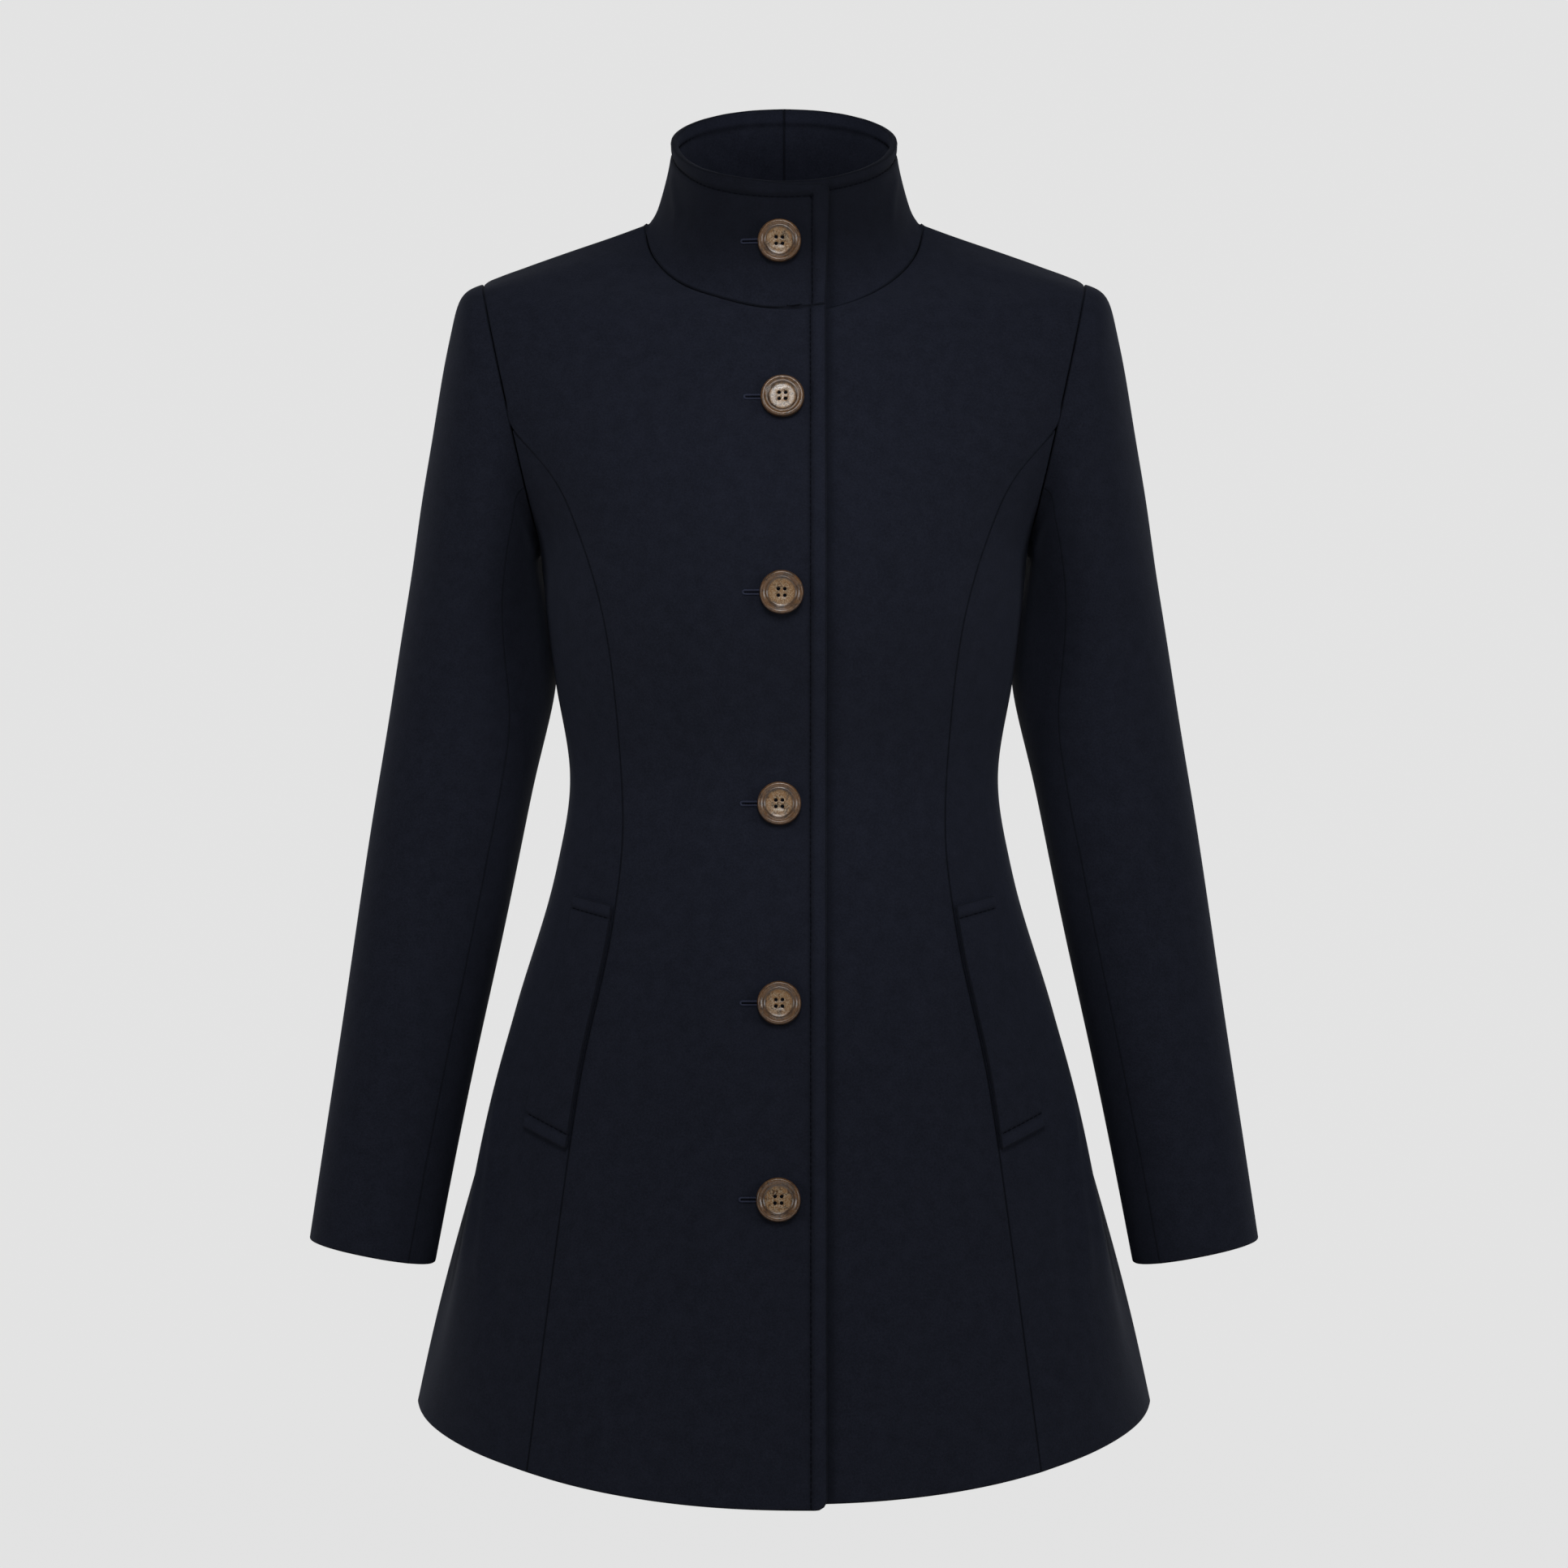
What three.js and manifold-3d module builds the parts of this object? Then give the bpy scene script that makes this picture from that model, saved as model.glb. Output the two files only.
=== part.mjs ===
// A fitted wool coat, filled out as it is when worn: princess seams, a standing collar, two-piece
// sleeves, slanted welt pockets and six large buttons on an overlapped front.
//
// Millimetres. +Z is up, the front faces -Y and the wearer's right is -X. The origin is the middle
// of the neck opening, level with the points where the shoulder seams meet the collar.
import * as THREE from 'three';
import { mergeVertices } from 'three/addons/utils/BufferGeometryUtils.js';
import Module from 'manifold-3d';

// Driving dimensions
const CLOTH = 3;
const COLLAR_CLOTH = 4.6;
const WELT_CLOTH = 2.6;
const SEAM_GAP = 0.3;
const EDGE_INSET = 0.25;
const SEAT_GAP = 0.55;
const COLLAR_SEAT_GAP = 0.2;
const LAP = 26.5;
const LAP_RAISE = CLOTH + SEAM_GAP + 0.7;
const LAP_BLEND = { start: 72, end: 46 };
const NECK = { width: 91, drop: 65, level: -1, backDrop: 1 };
const ARMHOLE = { top: 196, topLevel: -40, bottom: 159.7, bottomLevel: -205, front: 62, back: 66 };
const PRINCESS_TOP = -140;
const HEM = { side: -770, frontDrop: 40, backDrop: 22, rightDrop: 4, curve: 1.7 };
// How square the sections are: 2 is an ellipse
const FULLNESS = 2.2;

// Body sections: half width at the side, and depths to the front and the back, at each level.
// Between the shoulder tip and the underarm the width follows from the armhole.
const BODY = [
  { level: -1, width: 91, front: 3, back: 68 },
  { level: -8, width: 110, front: 12, back: 71 },
  { level: -20, width: 145, front: 29, back: 77 },
  { level: -32, width: 178, front: 43, back: 82 },
  { level: -40, width: 196, front: 51, back: 85 },
  { level: -66, front: 79, back: 95 },
  { level: -100, front: 93, back: 104 },
  { level: -150, front: 106, back: 110 },
  { level: -205, width: 159.7, front: 119, back: 108 },
  { level: -250, width: 155.8, front: 121, back: 103 },
  { level: -298, width: 149.5, front: 112, back: 95 },
  { level: -363, width: 139.7, front: 98, back: 88 },
  { level: -425, width: 149.5, front: 107, back: 99 },
  { level: -500, width: 171.5, front: 123, back: 118 },
  { level: -585, width: 195, front: 137, back: 133 },
  { level: -680, width: 218.5, front: 151, back: 147 },
  { level: -773, width: 238, front: 165, back: 161 },
  { level: -830, width: 249, front: 173, back: 169 },
];

// Princess seam: distance from the centre front at each level
const PRINCESS = [
  { level: -140, across: 174 },
  { level: -167, across: 149 },
  { level: -199, across: 134 },
  { level: -236, across: 121 },
  { level: -275, across: 112 },
  { level: -330, across: 106 },
  { level: -394, across: 102.6 },
  { level: -450, across: 108 },
  { level: -554, across: 129 },
  { level: -647, across: 142 },
  { level: -790, across: 160 },
];

// Soft flutes of the skirt, as ridges (rise above 0) and troughs along a line between two levels.
// turn is the angle from the centre front in degrees, at the upper and at the lower end.
const FLUTES = [
  { upper: -500, lower: -760, upperTurn: 82, lowerTurn: 60, spread: 9, rise: 4 },
  { upper: -520, lower: -775, upperTurn: 92, lowerTurn: 76, spread: 8, rise: -5 },
  { upper: -560, lower: -850, upperTurn: 104, lowerTurn: 96, spread: 10, rise: 4 },
  { upper: -490, lower: -850, upperTurn: 122, lowerTurn: 124, spread: 12, rise: -6 },
  { upper: -520, lower: -850, upperTurn: 146, lowerTurn: 148, spread: 11, rise: 6 },
  { upper: -540, lower: -850, upperTurn: 166, lowerTurn: 168, spread: 10, rise: -4 },
];

// Sleeve sections below the armhole: the outer and the inner point in the front view, the depths to
// the front and the back of the section's middle, how far back (+Y) that middle lies, and how far
// the section's inner back is tucked in behind the body, where its inner front comes out as much
const SLEEVE = [
  { outX: 207, outZ: -45, inX: 161.8, inZ: -210, front: 63.5, back: 67, middle: 0, tuck: 2.5 },
  { outX: 213, outZ: -55, inX: 161.4, inZ: -217, front: 65, back: 68, middle: 1, tuck: 3.5 },
  { outX: 217, outZ: -72, inX: 160.6, inZ: -225, front: 66, back: 68.5, middle: 2, tuck: 5.5 },
  { outX: 222.6, outZ: -98, inX: 159.8, inZ: -234, front: 66.5, back: 68, middle: 4, tuck: 9 },
  { outX: 229.5, outZ: -140, inX: 158.2, inZ: -247, front: 66, back: 66, middle: 7, tuck: 13 },
  { outX: 237, outZ: -182, inX: 156.6, inZ: -262, front: 64, back: 64, middle: 10, tuck: 16 },
  { outX: 243, outZ: -225, inX: 153.8, inZ: -283, front: 62, back: 62, middle: 12, tuck: 17 },
  { outX: 250, outZ: -267, inX: 153, inZ: -304, front: 60, back: 60, middle: 13, tuck: 13 },
  { outX: 256.5, outZ: -310, inX: 155.5, inZ: -328, front: 58, back: 58, middle: 12, tuck: 5 },
  { outX: 263, outZ: -352, inX: 163.5, inZ: -364, front: 56, back: 56, middle: 9, tuck: 0 },
  { outX: 269.6, outZ: -394, inX: 171.5, inZ: -405, front: 54.5, back: 54.5, middle: 4, tuck: 0 },
  { outX: 278.5, outZ: -458, inX: 184.5, inZ: -470, front: 53, back: 53, middle: -3, tuck: 0 },
  { outX: 287, outZ: -522, inX: 198.5, inZ: -535, front: 51, back: 51, middle: -12, tuck: 0 },
  { outX: 296.7, outZ: -590, inX: 212.5, inZ: -605, front: 48.5, back: 48.5, middle: -21, tuck: 0 },
  { outX: 306.3, outZ: -659, inX: 225.5, inZ: -675, front: 45.5, back: 45.5, middle: -30, tuck: 0 },
];
// Sleeve seams, in degrees round the sleeve from its outer side by way of the front
const SLEEVE_SEAM = { front: 128, back: 250 };

// Collar: its top edge, and how far it has narrowed from the neck seam (0) to that edge (1). Over
// the overlap the right half's edge drops towards its end.
const COLLAR_TOP = { width: 74, front: 75, back: 60, frontLevel: 18.5, backLevel: 83, edge: 27.9 };
const COLLAR_DROP = { start: -30, depth: 3.4 };
const COLLAR_RISE = [
  { height: 0, narrowed: 0 },
  { height: 0.06, narrowed: 0.27 },
  { height: 0.15, narrowed: 0.45 },
  { height: 0.3, narrowed: 0.62 },
  { height: 0.55, narrowed: 0.84 },
  { height: 0.8, narrowed: 1 },
  { height: 1, narrowed: 1 },
];

// Welt pocket corners on the front view: distance from the centre front, and level
const WELT = {
  innerTop: { across: 107.5, level: -444 },
  outerTop: { across: 131.8, level: -438 },
  innerBottom: { across: 135, level: -596 },
  outerBottom: { across: 162.4, level: -584 },
};

// Buttons, by their place on the front
const BUTTONS = [
  { name: 'button_1', across: -1, level: -123 },
  { name: 'button_2', across: -1.5, level: -246 },
  { name: 'button_3', across: -3, level: -379 },
  { name: 'button_4', across: -3, level: -504 },
  { name: 'button_5', across: -3.5, level: -625 },
];
const COLLAR_BUTTON = { name: 'button_collar', across: -2.8, level: -20.7 };
const BUTTON = { radius: 13.8, thickness: 4.6, dish: 8.9, sunk: 1.5, hole: 1.05, holeOffset: 2.05 };
// The button's rounded edges: at its foot, up its side and into its dish
const BUTTON_EDGE = { foot: 1.6, side: 1.3, top: 1.4, dish: 1.9 };

// Where the rows of the grids lie: the yoke's share of the front edge, how the rows crowd along the
// armhole of each panel, and how fast the side front leaves the armhole's curve
const YOKE_SHARE = 0.11;
const ARMHOLE_CROWDING = { front: 1.3, sideFront: 0.8, back: 1.2 };
const ARMHOLE_FADE = 3;
// How soon a flute that runs out through the hem has its full height
const FLUTE_START = 1.6;

// Faces: columns and rows of the cloth's grids
const FRONT_COLUMNS = 8;
const BACK_COLUMNS = 12;
const SIDE_COLUMNS = 5;
const NECK_ROWS = 7;
const BACK_NECK_ROWS = 6;
const FRONT_YOKE_ROWS = 3;
const BACK_YOKE_ROWS = 7;
const SKIRT_ROWS = 22;
const TOP_SLEEVE_COLUMNS = 12;
const UNDER_SLEEVE_COLUMNS = 6;
const WELT_COLUMNS = 3;
const WELT_ROWS = 9;
const BUTTON_SIDES = 20;
const HOLE_SIDES = 6;

const RIGHT = -1;
const LEFT = 1;
const QUARTER = Math.PI / 2;
// Steps for the slope of a surface, and the distance at which two corners are one
const SMALL_TURN = 0.01;
const SMALL_ANGLE = 0.05;
const SMALL_STEP = 0.5;
const SAME_PLACE = 1e-4;

const wasm = await Module();
wasm.setup();

const wool = () => new THREE.MeshStandardMaterial({ color: 0x181c26, roughness: 0.95 });
const horn = () => new THREE.MeshStandardMaterial({ color: 0x7a5638, roughness: 0.35 });

const lerp = THREE.MathUtils.lerp;
const radians = THREE.MathUtils.degToRad;
const soft = (value) => THREE.MathUtils.smoothstep(value, 0, 1);
const signedPower = (value, power) => Math.sign(value) * Math.abs(value) ** power;

// A smooth function through the rows of a table that fill both columns, from key to value
function curveThrough(table, keyName, valueName) {
  const rows = table.filter((row) => row[valueName] !== undefined);
  rows.sort((one, other) => one[keyName] - other[keyName]);
  const keys = rows.map((row) => row[keyName]);
  const values = rows.map((row) => row[valueName]);
  const last = rows.length - 1;
  const rate = (i) => (values[i + 1] - values[i]) / (keys[i + 1] - keys[i]);
  const slopes = keys.map((key, i) => {
    if (i === 0) return rate(0);
    if (i === last) return rate(last - 1);
    const before = rate(i - 1);
    const after = rate(i);
    return before * after > 0 ? (2 * before * after) / (before + after) : 0;
  });
  return (key) => {
    let i = keys.findIndex((next) => next > key) - 1;
    if (i < 0) i = key < keys[0] ? 0 : last - 1;
    const span = keys[i + 1] - keys[i];
    const t = (key - keys[i]) / span;
    if (t < 0) return values[0] + slopes[0] * (key - keys[0]);
    if (t > 1) return values[last] + slopes[last] * (key - keys[last]);
    const start = (1 + 2 * t) * (1 - t) ** 2 * values[i] + t * (1 - t) ** 2 * span * slopes[i];
    return start + t ** 2 * (3 - 2 * t) * values[i + 1] + t ** 2 * (t - 1) * span * slopes[i + 1];
  };
}

const frontDepth = curveThrough(BODY, 'level', 'front');
const backDepth = curveThrough(BODY, 'level', 'back');
const sideWidth = curveThrough(BODY, 'level', 'width');
const princessAcross = curveThrough(PRINCESS, 'level', 'across');
const collarNarrowed = curveThrough(COLLAR_RISE, 'height', 'narrowed');

// The armhole is an oval in a plane that leans in towards the underarm
const armholeAcross = (level) =>
  THREE.MathUtils.mapLinear(level, ARMHOLE.topLevel, ARMHOLE.bottomLevel, ARMHOLE.top, ARMHOLE.bottom);
function armholeDepth(level, front) {
  const middle = (ARMHOLE.topLevel + ARMHOLE.bottomLevel) / 2;
  const reach = Math.min(1, Math.abs((level - middle) / (ARMHOLE.topLevel - middle)));
  return (front ? ARMHOLE.front : ARMHOLE.back) * (1 - reach ** FULLNESS) ** (1 / FULLNESS);
}

function bodyWidth(level, front) {
  if (level >= ARMHOLE.topLevel || level <= ARMHOLE.bottomLevel) return sideWidth(level);
  const share = armholeDepth(level, front) / (front ? frontDepth(level) : backDepth(level));
  return armholeAcross(level) / (1 - share ** FULLNESS) ** (1 / FULLNESS);
}

// A point of the body, by its turn from the centre front (the wearer's right is negative)
function bodyPoint({ turn, level }) {
  const front = Math.cos(turn) > 0;
  const x = bodyWidth(level, front) * signedPower(Math.sin(turn), 2 / FULLNESS);
  const depth = front ? frontDepth(level) : backDepth(level);
  return new THREE.Vector3(x, -depth * signedPower(Math.cos(turn), 2 / FULLNESS), level);
}

function bodyNormal({ turn, level }) {
  const round = bodyPoint({ turn: turn + SMALL_TURN, level })
    .sub(bodyPoint({ turn: turn - SMALL_TURN, level }));
  const up = bodyPoint({ turn, level: level + SMALL_STEP })
    .sub(bodyPoint({ turn, level: level - SMALL_STEP }));
  return round.cross(up).normalize();
}

// The turn at which the body is a given distance across, on its front or back
function turnAt(across, level, front = true) {
  const share = Math.min(1, Math.abs(across) / bodyWidth(level, front));
  const turn = Math.asin(share ** (FULLNESS / 2));
  return Math.sign(across) * (front ? turn : Math.PI - turn);
}

const frontPlace = (across, level) => ({ turn: turnAt(across, level), level });

function hemLevel(turn) {
  const drop = Math.cos(turn) > 0 ? HEM.frontDrop : HEM.backDrop;
  return HEM.side - drop * Math.abs(Math.cos(turn)) ** HEM.curve;
}

// How far the flutes lift or sink the cloth at a place
function fluteRise({ turn, level }) {
  let rise = 0;
  for (const flute of FLUTES) {
    const along = (flute.upper - level) / (flute.upper - flute.lower);
    if (along <= 0 || along >= 1) continue;
    const middle = lerp(flute.upperTurn, flute.lowerTurn, along);
    const away = (THREE.MathUtils.radToDeg(Math.abs(turn)) - middle) / flute.spread;
    const endsAboveHem = flute.lower > HEM.side - HEM.frontDrop;
    const fade = endsAboveHem ? Math.sin(Math.PI * along) : soft(along * FLUTE_START);
    rise += flute.rise * fade * Math.exp(-(away ** 2));
  }
  return rise;
}

// The right front and collar lie over the left ones: they are raised where the two overlap, and
// there the left collar, which is thicker than the front, sinks in a little
const lapShare = (x) => soft((x + LAP_BLEND.start) / (LAP_BLEND.start - LAP_BLEND.end));
const lapRaise = (x) => LAP_RAISE * lapShare(x);
const collarSink = (x) => -(COLLAR_CLOTH - CLOTH + SEAM_GAP) * lapShare(-x);

// The neck seam at an angle round the neck from the centre front
function neckPlace(angle) {
  if (Math.cos(angle) < 0) return { turn: angle, level: NECK.level + NECK.backDrop * Math.cos(angle) };
  const level = NECK.level - NECK.drop * Math.cos(angle);
  return frontPlace(NECK.width * Math.sin(angle), level);
}
const lapAngle = (edge, width) => Math.asin(edge / width);

// Rows of places across a panel, between two edges that are lists of places from the top down
const placeRows = (oneEdge, otherEdge, columns) =>
  oneEdge.map((start, i) => Array.from({ length: columns + 1 }, (_, j) => ({
    turn: lerp(start.turn, otherEdge[i].turn, j / columns),
    level: lerp(start.level, otherEdge[i].level, j / columns),
  })));

// Even shares from 0 to 1, without the ones before the first that is asked for
const steps = (count, first = 0) =>
  Array.from({ length: count + 1 - first }, (_, i) => (i + first) / count);

// The edges of a grid move in along the cloth, which leaves the gap at each seam
function insetEdges(grid) {
  const last = grid.length - 1;
  const end = grid[0].length - 1;
  const shift = (point, towards) => {
    const way = towards.clone().sub(point);
    return way.setLength(Math.min(EDGE_INSET, way.length() / 3));
  };
  const moves = grid.map((row, i) => row.map((point, j) => {
    const move = new THREE.Vector3();
    if (i === 0) move.add(shift(point, grid[1][j]));
    if (i === last) move.add(shift(point, grid[last - 1][j]));
    if (j === 0) move.add(shift(point, row[1]));
    if (j === end) move.add(shift(point, row[end - 1]));
    return move;
  }));
  return grid.map((row, i) => row.map((point, j) => point.clone().add(moves[i][j])));
}

// A closed wall between an outer and an inner grid of points, with its faces out
function wallGeometry(outer, inner) {
  const rows = outer.length;
  const columns = outer[0].length;
  const points = [...outer.flat(), ...inner.flat()];
  const at = (layer, i, j) => layer * rows * columns + i * columns + j;
  const index = [];
  const quad = (a, b, c, d) => index.push(a, b, c, a, c, d);
  for (let i = 0; i < rows - 1; i += 1) {
    for (let j = 0; j < columns - 1; j += 1) {
      quad(at(0, i, j), at(0, i + 1, j), at(0, i + 1, j + 1), at(0, i, j + 1));
      quad(at(1, i, j), at(1, i, j + 1), at(1, i + 1, j + 1), at(1, i + 1, j));
    }
  }
  const top = Array.from({ length: columns }, (_, j) => [0, j]);
  const right = Array.from({ length: rows }, (_, i) => [i, columns - 1]);
  const bottom = top.map(([, j]) => [rows - 1, j]).reverse();
  const left = right.map(([i]) => [i, 0]).reverse();
  const rim = [...top, ...right.slice(1), ...bottom.slice(1), ...left.slice(1)];
  for (let k = 0; k < rim.length - 1; k += 1) {
    const [one, next] = [rim[k], rim[k + 1]];
    quad(at(0, ...one), at(0, ...next), at(1, ...next), at(1, ...one));
  }
  return closedGeometry(points, index);
}

// A geometry from points and triangles, turned inside out where its volume comes out negative
function closedGeometry(points, index) {
  let volume = 0;
  for (let k = 0; k < index.length; k += 3) {
    const [a, b, c] = [points[index[k]], points[index[k + 1]], points[index[k + 2]]];
    volume += a.dot(b.clone().cross(c));
  }
  if (volume < 0) index.reverse();
  const geometry = new THREE.BufferGeometry();
  geometry.setAttribute('position', new THREE.Float32BufferAttribute(points.flatMap((p) => [...p]), 3));
  geometry.setIndex(index);
  return geometry;
}

// A body panel over rows of places; raise says how far it stands off the body
function panelGeometry(places, raise = () => 0) {
  const outer = places.map((row) => row.map((place) => {
    const point = bodyPoint(place);
    return point.addScaledVector(bodyNormal(place), raise(point.x) + fluteRise(place));
  }));
  const inner = places.map((row, i) => row.map((place, j) =>
    outer[i][j].clone().addScaledVector(bodyNormal(place), -CLOTH)));
  return wallGeometry(insetEdges(outer), insetEdges(inner));
}

// Edges that neighbouring pieces share, from the top down, on one side of the body
const armholeEdge = (side, levels, front) =>
  levels.map((level) => ({ turn: turnAt(side * armholeAcross(level), level, front), level }));

function princessEdge(side) {
  const hemPlace = frontPlace(side * PRINCESS.at(-1).across, PRINCESS.at(-1).level);
  const bottom = hemLevel(hemPlace.turn);
  return steps(SKIRT_ROWS).map((t) => {
    const level = lerp(PRINCESS_TOP, bottom, t);
    return frontPlace(side * princessAcross(level), level);
  });
}

const sideEdge = (side) =>
  steps(SKIRT_ROWS).map((t) => ({ turn: side * QUARTER, level: lerp(ARMHOLE.bottomLevel, HEM.side, t) }));

// Front panel, from the shoulder seam to the hem and from its overlapping edge to the princess seam
function frontPanel(side) {
  const lapEnd = -side * lapAngle(LAP, NECK.width);
  const neck = steps(NECK_ROWS).map((t) => neckPlace(lerp(side * QUARTER, lapEnd, t)));
  const edgeTop = neck.at(-1).level;
  const edgeBottom = hemLevel(0) - (side === RIGHT ? HEM.rightDrop : 0);
  const yokeLevel = lerp(edgeTop, edgeBottom, YOKE_SHARE);
  const yoke = steps(FRONT_YOKE_ROWS, 1).map((t) => frontPlace(-side * LAP, lerp(edgeTop, yokeLevel, t)));
  const skirt = steps(SKIRT_ROWS, 1).map((t) => frontPlace(-side * LAP, lerp(yokeLevel, edgeBottom, t)));
  const rowsAbove = NECK_ROWS + FRONT_YOKE_ROWS;
  const levels = steps(rowsAbove)
    .map((t) => lerp(ARMHOLE.topLevel, PRINCESS_TOP, t ** ARMHOLE_CROWDING.front));
  const outerEdge = [...armholeEdge(side, levels, true), ...princessEdge(side).slice(1)];
  const places = placeRows([...neck, ...yoke, ...skirt], outerEdge, FRONT_COLUMNS);
  hangHem(places.at(-1), side === RIGHT ? HEM.rightDrop : 0);
  return panelGeometry(places, side === RIGHT ? lapRaise : undefined);
}

// The last row follows the hem's curve; drop is how much longer the front edge hangs
function hangHem(row, drop = 0) {
  row.forEach((place, j) => {
    place.level = hemLevel(place.turn) - drop * (1 - j / (row.length - 1));
  });
}

// Side front, from the lower armhole to the hem and from the princess seam to the side seam
function sideFrontPanel(side) {
  const inner = princessEdge(side);
  const outer = sideEdge(side);
  const places = placeRows(inner, outer, SIDE_COLUMNS);
  const levels = steps(SIDE_COLUMNS)
    .map((t) => lerp(PRINCESS_TOP, ARMHOLE.bottomLevel, t ** ARMHOLE_CROWDING.sideFront));
  const armhole = armholeEdge(side, levels, true);
  places.forEach((row, i) => row.forEach((place, j) => {
    const fade = (1 - i / SKIRT_ROWS) ** ARMHOLE_FADE;
    place.turn += fade * (armhole[j].turn - lerp(inner[0].turn, outer[0].turn, j / SIDE_COLUMNS));
    place.level += fade * (armhole[j].level - lerp(inner[0].level, outer[0].level, j / SIDE_COLUMNS));
  }));
  hangHem(places.at(-1));
  return panelGeometry(places);
}

// Back panel, from the shoulder seam to the hem and from the centre back seam to the side seam
function backPanel(side) {
  const neck = steps(BACK_NECK_ROWS).map((t) => neckPlace(side * lerp(QUARTER, Math.PI, t)));
  const top = neck.at(-1).level;
  const centre = (level) => ({ turn: side * Math.PI, level });
  const yoke = steps(BACK_YOKE_ROWS, 1).map((t) => centre(lerp(top, ARMHOLE.bottomLevel, t)));
  const skirt = steps(SKIRT_ROWS, 1).map((t) => centre(lerp(ARMHOLE.bottomLevel, hemLevel(Math.PI), t)));
  const rowsAbove = BACK_NECK_ROWS + BACK_YOKE_ROWS;
  const levels = steps(rowsAbove)
    .map((t) => lerp(ARMHOLE.topLevel, ARMHOLE.bottomLevel, t ** ARMHOLE_CROWDING.back));
  const outerEdge = [...armholeEdge(side, levels, false), ...sideEdge(side).slice(1)];
  outerEdge[0].turn = side * QUARTER;
  const places = placeRows([...neck, ...yoke, ...skirt], outerEdge, BACK_COLUMNS);
  hangHem(places.at(-1));
  return panelGeometry(places);
}

// 1 where the collar's halves lie in front, where they lap over each other, and 0 behind the neck
const inFront = (place) => (place.y < 0 ? 1 : 0);

const collarDropShare = (top) =>
  inFront(top) * soft((top.x - COLLAR_DROP.start) / (COLLAR_TOP.edge - COLLAR_DROP.start));

// Collar half, standing on the neck seam, from the centre back to its end in the overlap
function collarPoint(angle, height, lapShift, drop) {
  const foot = neckPlace(angle);
  const seam = bodyPoint(foot);
  seam.addScaledVector(bodyNormal(foot), inFront(seam) * lapShift(seam.x));
  const depth = Math.cos(angle) > 0 ? COLLAR_TOP.front : COLLAR_TOP.back;
  const top = new THREE.Vector3(COLLAR_TOP.width * Math.sin(angle), -depth * Math.cos(angle), 0);
  const lean = THREE.MathUtils.mapLinear(top.y, -COLLAR_TOP.front, COLLAR_TOP.back, 0, 1);
  top.addScaledVector(top.clone().normalize(), inFront(top) * lapShift(top.x));
  top.z = lerp(COLLAR_TOP.frontLevel, COLLAR_TOP.backLevel, lean) - drop * collarDropShare(top);
  const narrowed = collarNarrowed(height);
  return new THREE.Vector3(lerp(seam.x, top.x, narrowed), lerp(seam.y, top.y, narrowed),
    lerp(seam.z + SEAM_GAP, top.z, height));
}

// Outer and inner points of a wall whose rows hold angles; the inner side lies one thickness along
// the normal of the surface that pointAt(row, angle) gives, or against it where that is below 0
function wallGrids(pointAt, rows, thickness) {
  const last = rows.length - 1;
  const outer = rows.map((angles, i) => angles.map((angle) => pointAt(i, angle)));
  const inner = rows.map((angles, i) => angles.map((angle, j) => {
    const down = pointAt(Math.min(i + 1, last), angle).sub(pointAt(Math.max(i - 1, 0), angle));
    const along = pointAt(i, angle + SMALL_ANGLE).sub(pointAt(i, angle - SMALL_ANGLE));
    const normal = along.cross(down).normalize();
    return outer[i][j].clone().addScaledVector(normal, thickness);
  }));
  return [outer, inner];
}

function collarHalf(side) {
  const lapShift = side === RIGHT ? lapRaise : collarSink;
  const drop = side === RIGHT ? COLLAR_DROP.depth : 0;
  const rows = COLLAR_RISE.map(({ height }) => {
    const width = lerp(NECK.width, COLLAR_TOP.width, collarNarrowed(height));
    const end = -side * lapAngle(lerp(LAP, COLLAR_TOP.edge, height), width);
    const backAngles = steps(BACK_NECK_ROWS).map((t) => side * lerp(Math.PI, QUARTER, t));
    return [...backAngles, ...steps(NECK_ROWS, 1).map((t) => lerp(side * QUARTER, end, t))];
  });
  const pointAt = (i, angle) => collarPoint(angle, COLLAR_RISE[i].height, lapShift, drop);
  const [outer, inner] = wallGrids(pointAt, rows, -COLLAR_CLOTH);
  inner[0].forEach((point, j) => {
    point.z = outer[0][j].z;
  });
  return wallGeometry(insetEdges(outer), insetEdges(inner));
}

// Sleeve sections: the armhole's own oval, moved out by the seam gap, then the table's
const sleeveSections = [
  {
    outX: ARMHOLE.top + SEAM_GAP,
    outZ: ARMHOLE.topLevel,
    inX: ARMHOLE.bottom + SEAM_GAP,
    inZ: ARMHOLE.bottomLevel,
    front: ARMHOLE.front,
    back: ARMHOLE.back,
    middle: 0,
    tuck: 0,
  },
  ...SLEEVE,
];

function sleevePoint(side, section, angle) {
  const out = signedPower(Math.cos(angle), 2 / FULLNESS);
  const forward = signedPower(Math.sin(angle), 2 / FULLNESS);
  const x = lerp(section.inX + section.tuck * forward, section.outX, (1 + out) / 2);
  const z = lerp(section.inZ, section.outZ, (1 + out) / 2);
  const depth = forward > 0 ? section.front : section.back;
  return new THREE.Vector3(side * x, section.middle - depth * forward, z);
}

// A sleeve piece between two angles round the arm
function sleevePiece(side, fromAngle, toAngle, columns) {
  const angles = steps(columns).map((t) => radians(lerp(fromAngle, toAngle, t)));
  const pointAt = (i, angle) => sleevePoint(side, sleeveSections[i], angle);
  const [outer, inner] = wallGrids(pointAt, sleeveSections.map(() => angles), -side * CLOTH);
  const head = shrunkSection(sleeveSections[0], CLOTH);
  inner[0] = angles.map((angle) => sleevePoint(side, head, angle));
  return wallGeometry(insetEdges(outer), insetEdges(inner));
}

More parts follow.
